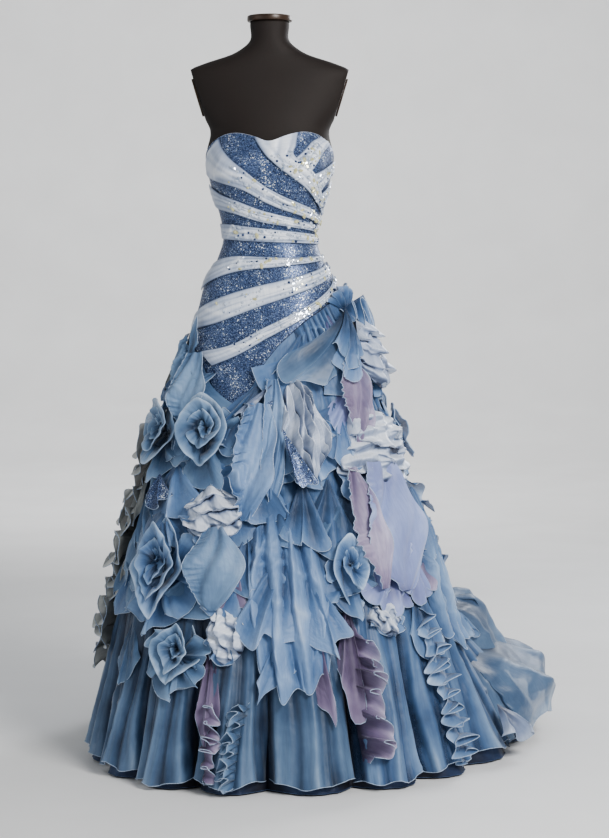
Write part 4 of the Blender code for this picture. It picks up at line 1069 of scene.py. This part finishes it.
def drape(row, seed, skirt):
    """A loose sheet caught at its top, falling in uneven folds that deepen to a wavy foot."""
    across, down = axes(101, 57)
    centred = 2 * across - 1
    middle = 0.5 * (row.top_from + row.top_to) * (1 - down) + 0.5 * (row.foot_from + row.foot_to) * down
    half = 0.5 * (row.top_to - row.top_from) * (1 - down) + 0.5 * (row.foot_to - row.foot_from) * down
    half = half * (0.66 + 0.44 * eased(down * 1.5)) + 1.5
    fold_at = math.tau * row.folds * (across + 0.05 * wander(3 * across + 2 * down, seed + 1))
    bearings = middle + half * (centred + 0.16 / row.folds * np.sin(fold_at + 1.5) * down)
    top = row.top_start + (row.top_end - row.top_start) * across + 0.012 * (1 - centred**2)
    seam = edge_height(SEAM, bearings[:1]) - SEAM_LAP
    top = np.where(row.name == "drape_right_hip", seam, np.minimum(top, seam))
    foot = row.foot - row.dip * (1 - centred**2) + 0.014 * np.cos(fold_at[:1])
    foot = foot + 0.010 * wander(9 * across, seed) + 0.030 * np.abs(centred) ** 3
    heights = top + (foot - top) * down
    fold = 0.5 - 0.5 * np.cos(fold_at)
    minor = 0.5 - 0.5 * np.cos(2.6 * fold_at + 2 * wander(4 * down, seed + 2))
    shape = np.sin(math.pi * np.clip(0.12 + 0.72 * down, 0, 1)) ** 0.6
    loose = row.lift * shape * (0.30 + 0.55 * fold + 0.16 * minor * (1 - 0.6 * fold))
    loose = loose * (1 - 0.70 * np.abs(centred) ** 5)
    loose = loose + 0.0060 * creases(0.22 * across, 0.30 * down, seed, 20, CREASE_WIDTH) * eased(down * 5)
    grid = figure(bearings, heights, 0.001 + loose, 0.0)
    # Painted shading: lighter where the sheet stands out, darker in its folds, and paler near the foot.
    rise = np.clip(0.02 + 0.72 * loose / row.lift + 0.14 * down**6, 0, 1)
    hemmed(f"{row.name}_cloth", grid, row.look, rise, "hung", skirt, row.name)


WAVE_STEPS = 26  # columns for each wave of a ruffle
# Ruffles that only the render has, under or beside the others.
FRILLS = [Ruffle(*row) for row in (
    ("frill_left", "taupe", ((-88, 0.640), (-84, 0.440), (-80, 0.240)), 0.046, 8, 0.70, 0.25, 25),
    ("frill_right", "blue", ((90, 0.640), (93, 0.470), (92, 0.290)), 0.044, 8, 0.75, 0.25, 15),
)]


def ruffle(row, seed, skirt, *nodes):
    """A gathered strip: sewn along its line, falling to one side in uneven waves."""
    share = np.linspace(0, 1, row.waves * WAVE_STEPS + 1)[None, :]
    bearings, heights = line_at(row.line, share)
    per_deg, per_metre = scales(bearings, heights)
    run = np.stack([np.gradient(bearings[0]) * per_deg[0], np.gradient(heights[0]) * per_metre[0]])
    run /= np.linalg.norm(run, axis=0)
    part = np.array([0, 0.08, 0.18, 0.30, 0.42, 0.54, 0.66, 0.77, 0.87, 0.94, 1.0])[:, None]
    phase = math.tau * row.waves * share + 1.1 * wander(row.waves * 1.1 * share, seed)
    wave = np.sin(phase) + 0.35 * np.sin(2.3 * phase + seed)
    ends = eased(np.minimum(share, 1 - share) * row.waves * 0.7 + 0.22)
    width = row.width * ends * (1 + 0.22 * wander(row.waves * 1.7 * share, seed + 9))
    reach = width * part
    lean = math.radians(abs(row.lean)) + row.swing * 0.60 * wave * part**0.4
    aside = math.copysign(1.0, row.lean) * reach * np.sin(lean)
    stand = reach * np.cos(lean) + 0.12 * width * np.sin(math.pi * part)
    along = row.curl * reach * np.cos(phase + 0.6 * part) - (row.droop + 0.25 * part) * reach
    grid = figure(bearings - aside * run[1] / per_deg,
                  heights + (along + aside * run[0]) / per_metre,
                  0.002 + np.maximum(stand, 0), 0.6 * (1.0 - part))
    # Painted shading: painted shade along the sewn line, lighter towards the free edge, and lighter or
    # darker as the waves lean.
    tone = np.clip(0.06 + 0.46 * part + 0.24 * wave * part + 0.18 * part**5, 0, 1)
    hemmed(f"{row.name}_cloth", grid, row.look, tone, "gathered", skirt, *nodes)


BILLOW_UP, BILLOW_DOWN = 0.115, 0.085  # a train sheet's reach above and below its line


def billow(row, seed, skirt, *nodes):
    """A wide sheer sheet of the train: it swells out below its gathered top and hangs in folds."""
    across, down = axes(30 * row.waves + 1, 49)
    fold_at = math.tau * row.waves * (across + 0.03 * wander(4 * across + down, seed))
    fold = 0.5 + 0.5 * np.sin(fold_at)
    bearings, middle = line_at(row.line, across)
    bearings = bearings + 0.8 * down * np.sin(fold_at + 1.4)
    top, foot = middle + BILLOW_UP, np.maximum(middle - BILLOW_DOWN, 0.012)
    foot = foot + 0.020 * (0.5 + 0.5 * wander(8 * across, seed + 1)) + 0.012 * fold[:1]
    heights = top + (foot - top) * down
    ends = eased(np.minimum(across, 1 - across) * 5)
    swell = np.sin(math.pi * (0.04 + 0.72 * down)) ** 1.1
    swell = swell * (0.72 + 0.30 * fold + 0.10 * wander(5 * down, seed))
    out = 0.004 + 1.05 * row.width * ends * swell
    out = out + 0.005 * creases(0.5 * across, 0.2 * down, seed, 26, 0.010)
    out = out + 0.004 * down * np.sin(2.7 * fold_at + 2 * down)
    grid = figure(bearings, heights, out, 0.6)
    # Painted shading: darker under the gathered top and in the folds, lighter on the fold crests and towards
    # the foot.
    tone = np.clip(0.20 + 0.30 * down + 0.34 * fold * down + 0.14 * down**8, 0, 1)
    hemmed(f"{row.name}_cloth", grid, row.look, tone, "gathered", skirt, *nodes)


# Large loose leaves, as petal() takes them: gathered point, size and shape.  The last is the satin
# corner at the train's hem.
Leaf = namedtuple("Leaf", "look bearing height tilt out length lift spread point folds")
LEAVES = [Leaf(*row) for row in (
    ("blue", 12, 0.640, 2, 0.024, 0.170, 0.030, 18, 0.15, 2),
    ("blue", -16, 0.800, 8, 0.010, 0.130, 0.024, 26, 0.20, 1),
    ("slate", -62, 0.910, 14, 0.006, 0.190, 0.030, 26, 0.15, 2),
    ("slate", -60, 0.875, 176, 0.012, 0.105, 0.012, 12, 0.45, 1),
    ("slate", -84, 0.950, -4, 0.006, 0.200, 0.026, 26, 0.15, 2),
    ("slate", -50, 0.870, -12, 0.006, 0.150, 0.026, 26, 0.20, 2),
    ("mist", 64, 1.004, -30, 0.026, 0.225, 0.014, 13, 0.25, 2),
    ("pale", 60, 0.985, -14, 0.030, 0.180, 0.030, 11, 0.35, 2),
    ("blue", 59, 1.000, -12, 0.034, 0.150, 0.030, 14, 0.35, 3),
    ("pale", 24, 0.966, -18, 0.008, 0.140, 0.024, 17, 0.15, 2),
    ("pale", 76, 0.990, 176, 0.004, 0.066, 0.030, 62, 0.10, 6),
    ("pale", 86, 0.990, 150, 0.006, 0.060, 0.034, 56, 0.10, 5),
    ("blue", 98, 0.960, 10, 0.008, 0.200, 0.034, 26, 0.20, 3),
    ("blue", 100, 0.860, 10, 0.008, 0.220, 0.034, 26, 0.20, 3),
    ("pale", 34, 0.800, -2, 0.014, 0.150, 0.030, 22, 0.15, 3),
    ("blue", 80, 0.640, 6, 0.012, 0.250, 0.034, 22, 0.25, 3),
    ("blue", 24, 0.640, -8, 0.012, 0.180, 0.032, 22, 0.20, 2),
    ("pale", 5, 0.500, -12, 0.018, 0.240, 0.038, 18, 0.20, 2),
    ("pale", 12, 0.450, 12, 0.016, 0.200, 0.036, 20, 0.30, 2),
    ("pale", 3, 0.330, -8, 0.010, 0.165, 0.024, 22, 0.50, 1),
    ("rose", -14, 0.520, 4, 0.012, 0.200, 0.020, 10, 0.35, 1),
    ("rose", 25, 0.400, -3, 0.006, 0.280, 0.026, 11, 0.45, 2),
    ("rose", 13.5, 0.370, 2, 0.004, 0.250, 0.022, 9, 0.40, 1),
    ("rose", -18, 0.330, 0, 0.004, 0.260, 0.022, 9, 0.40, 2),
    ("blue", 60, 0.440, -4, 0.006, 0.240, 0.028, 17, 0.35, 2),
    ("blue", 82, 0.420, 4, 0.006, 0.220, 0.028, 17, 0.35, 2),
    ("sheer", 100, 0.430, 12, 0.008, 0.220, 0.050, 30, 0.15, 4),
    ("sheer", 122, 0.420, 6, 0.012, 0.220, 0.050, 30, 0.15, 4),
    ("slate", -68, 0.590, 6, 0.010, 0.210, 0.030, 24, 0.25, 2),
    ("taupe", -84, 0.680, -6, 0.012, 0.190, 0.036, 26, 0.20, 3),
    ("slate", -58, 0.350, 4, 0.006, 0.180, 0.024, 20, 0.40, 2),
    ("satin", 2, 0.835, -44, 0.026, 0.110, 0.010, 8, 0.10, 1),
    ("glitter", 6, 0.815, -44, 0.022, 0.110, 0.010, 8, 0.10, 1),
    ("glitter", 5, 0.735, 18, 0.050, 0.150, 0.010, 9, 0.20, 1),
    ("glitter", -57, 0.640, 10, 0.026, 0.085, 0.018, 34, 0.20, 2),
    ("satin", 82, 0.112, 6, 0.030, 0.098, 0.062, 40, 0.10, 2),
)]

# Leaves that are widest at their middle, as blade() takes them.
Blade = namedtuple("Blade", "look bearing height tilt out length half lift crinkle")
BLADES = [Blade(*row) for row in (
    ("slate", -21, 0.530, 2, 0.024, 0.178, 0.046, 0.030, 0.002),
    ("blue", 0.5, 0.845, 1, 0.014, 0.270, 0.024, 0.026, 0.002),
    ("slate", -52, 0.900, 8, 0.014, 0.170, 0.030, 0.028, 0.002),
    ("lilac", 50, 0.660, 2, 0.024, 0.285, 0.062, 0.034, 0.002),
    ("rose", 34, 0.650, 4, 0.034, 0.270, 0.024, 0.026, 0.003),
    ("rose", 49, 0.880, -6, 0.021, 0.190, 0.026, 0.028, 0.002),
)]

# Petals scattered over a stretch of the skirt: their looks in turn and the stretch's bearings.
Scatter = namedtuple("Scatter", "looks bearing_from bearing_to")
SCATTERS = [Scatter(*row) for row in (
    (("slate", "taupe", "slate", "blue"), -106, -62),
    (("slate", "blue", "slate", "pale"), -64, -18),
    (("blue", "pale", "blue", "blue"), -20, 28),
    (("blue", "lilac", "blue", "slate", "pale"), 26, 74),
    (("blue", "blue", "rose", "pale"), 72, 120),
    (("blue", "pale", "blue", "slate"), 118, 168),
    (("blue", "slate", "pale", "blue"), 166, 214),
    (("slate", "blue", "slate", "taupe"), 212, 256),
)]
SCATTER_STEP = 0.078  # between rows
SCATTER_FROM, SCATTER_TO = 0.455, 1.03  # the heights of their gathered points


def scattered(number, scatter, skirt):
    """Overlapping petals in staggered rows, each upper row over the one below."""
    draw = np.random.default_rng(SCATTER_SEED + number)
    parts, count = [], 0
    height, level = SCATTER_FROM, 0
    while height < SCATTER_TO:
        per_deg = float(scales(np.array([scatter.bearing_from]), np.array([height]))[0][0])
        step = SCATTER_STEP * 1.25 / max(per_deg, 0.0012)
        bearing = scatter.bearing_from + step * (0.25 + 0.5 * (level % 2))
        while bearing < scatter.bearing_to:
            here = bearing + step * draw.uniform(-0.30, 0.30)
            top = height + draw.uniform(-0.024, 0.024)
            clear = min(
                ((here - row.bearing) * per_deg / row.half_width) ** 2
                + ((top - row.height) / row.half_height) ** 2
                for row in ROSETTES
            )
            if top < float(edge_height(SEAM, here)) - 0.004 and clear > 0.5:
                count += 1
                look = scatter.looks[int(draw.integers(len(scatter.looks)))]
                place = (here, top, draw.uniform(-32, 32), draw.uniform(0.009, 0.013))
                size = (draw.uniform(0.100, 0.160), draw.uniform(0.024, 0.036))
                shape = (draw.uniform(26, 44), draw.uniform(0.05, 0.25), int(draw.integers(1, 4)))
                parts += petal(place, size, shape, 1000 * (number + 1) + count, look)
            bearing += step
        height, level = height + SCATTER_STEP, level + 1
    cloth(f"petals_{number + 1}", parts, "gathered", skirt)


PANEL_TOP = 0.470  # where the sheer panels start, under the lowest drapes
PANEL_HALF_DEG = 10.9


def sheer_panel(number, skirt):
    """A long sheer flute over the net, its sides turned in beside the next one's."""
    across, down = axes(45, 49, -1)
    seed = PANEL_SEED + number
    uneven = wander(np.array([[1.9 * number]]), 31)
    bearing = FLUTE_DEG * (number + 0.5) - 5 * FLUTE_DEG
    bearings = bearing + (PANEL_HALF_DEG + 0.9 * uneven) * across + 0.5 * wander(3 * down + across, seed)
    foot = 0.016 + 0.010 * wander(2.2 * across + number, seed) + 0.010 * uneven + 0.006 * across**2
    heights = PANEL_TOP + (foot - PANEL_TOP) * down
    bend = 3.2 * across + 0.5 * wander(2 * down + across, seed + 1)
    waves = 0.5 + 0.5 * np.cos(math.pi * bend + uneven)
    fine = 0.5 + 0.5 * np.cos(2.7 * math.pi * bend + 2 * wander(2 * down, seed + 2))
    out = 0.006 + down * (0.014 * waves + 0.006 * fine) - 0.010 * down * np.abs(across) ** 6
    out = out + 0.0030 * creases(0.18 * across, 0.45 * down, seed, 6, 0.008)
    grid = figure(bearings, heights, out, 1.0)
    # Painted shading: lighter on the crests of the folds towards the foot, painted shade at the top and
    # where the sides turn in.
    rise = np.clip(0.16 + 0.42 * waves * down + 0.22 * fine * down * waves - 0.35 * across**6, 0, 1)
    look = "taupe" if number == 0 else "mist" if number < 6 or number > 12 else "sheer"
    hemmed(f"sheer_panel_{number + 1}", grid, look, rise, "hung", skirt)


def gown():
    """Every piece of cloth, from the bodice down to the loose petals."""
    panels = [
        bodice_panel("bodice_front", -90.0, 90.0, 140, 90),
        bodice_panel("bodice_back_left", 90.0, 180.0, 60, 70),
        bodice_panel("bodice_back_right", 180.0, 270.0, 60, 70),
    ]
    for number, row in enumerate(BANDS):
        band(row, number, panels[0])
    back_placket(panels[1:])
    stones()
    skirt = [gore(number) for number in range(GORES)]
    for number in range(GORES * FLUTES_PER_GORE):
        sheer_panel(number, skirt)
    for number in range(GORES):
        underlay(number, skirt)
    for number, row in enumerate(ROSETTES):
        make = crushed if row.look == "satin" else long_leaf if row.name == "rose_centre_long" else rose
        make(row, number, skirt)
        cloth(f"{row.name}_collar", collar(row, number), "gathered", skirt)
    for number, row in enumerate(DRAPES):
        drape(row, DRAPE_SEED + number, skirt)
    for number, row in enumerate(RUFFLES):
        make = billow if "train" in row.name else ruffle
        make(row, RUFFLE_SEED + number, skirt, row.name)
    for number, row in enumerate(FRILLS):
        ruffle(row, FRILL_SEED + number, skirt)
    for number, leaf in enumerate(LEAVES):
        parts = petal(leaf[1:5], leaf[5:7], leaf[7:], LEAF_SEED + number, leaf.look)
        cloth(f"leaf_{number + 1}", parts, "gathered", skirt)
    for number, leaf in enumerate(BLADES):
        parts = blade(leaf[1:5], leaf[5:8], leaf.crinkle, BLADE_SEED + number, leaf.look)
        cloth(f"blade_{number + 1}", parts, "gathered", skirt)
    for number, scatter in enumerate(SCATTERS):
        scattered(number, scatter, skirt)


# ---------------------------------------------------------------- camera, light and floor
CAMERA_PLACE = (0.0776, -4.7, 1.06)
CAMERA_PITCH_DEG = 3.72
CAMERA_LENS_MM = 89.74
SKY_COLOUR, SKY_STRENGTH = (0.86, 0.88, 0.90, 1.0), 0.40
Light = namedtuple("Light", "name place aim size power colour")
LIGHTS = [Light(*row) for row in (
    ("key", (1.9, -2.9, 2.7), (0.05, 0.0, 0.85), 1.3, 135.0, (1.0, 0.985, 0.96)),
    ("fill", (-3.2, -2.2, 1.4), (0.0, 0.0, 0.7), 2.4, 16.0, (0.88, 0.94, 1.0)),
    ("rim", (2.2, 2.6, 2.4), (0.0, 0.0, 0.8), 1.4, 60.0, (0.95, 0.97, 1.0)),
    ("wall", (0.0, 4.4, 3.8), (0.0, 9.6, 1.2), 3.0, 170.0, (1.0, 1.0, 1.0)),
)]
# The floor's paper turns up into a wall all round, as (radius, height).
SWEEP = [(0.0, 0.0), (6.0, 0.0), (7.2, 0.06), (8.2, 0.36), (9.0, 1.0), (9.5, 2.1), (9.8, 4.0), (9.9, 6.5)]
SWEEP_SEGMENTS = 96


def studio():
    """The camera, the lights and the floor."""
    camera = link(bpy.data.objects.new("camera", bpy.data.cameras.new("camera")))
    camera.location = CAMERA_PLACE
    camera.rotation_euler = (math.radians(90 - CAMERA_PITCH_DEG), 0.0, 0.0)
    camera.data.lens = CAMERA_LENS_MM
    bpy.context.scene.camera = camera
    for row in LIGHTS:
        lamp = bpy.data.lights.new(row.name, "AREA")
        lamp.energy, lamp.size, lamp.color = row.power, row.size, row.colour
        made = link(bpy.data.objects.new(row.name, lamp))
        made.location = row.place
        way = np.array(row.aim) - np.array(row.place)
        made.rotation_euler = (
            math.atan2(math.hypot(way[0], way[1]), -way[2]), 0.0, math.atan2(-way[0], way[1]))
    world = bpy.data.worlds.new("studio")
    world.use_nodes = True
    sky = world.node_tree.nodes["Background"].inputs
    sky["Color"].default_value, sky["Strength"].default_value = SKY_COLOUR, SKY_STRENGTH
    bpy.context.scene.world = world
    bpy.context.scene.view_settings.look = "AgX - Medium High Contrast"
    turned("floor", SWEEP, SWEEP_SEGMENTS, "paper")


studio()
torso()
stand_and_cap()
gown()
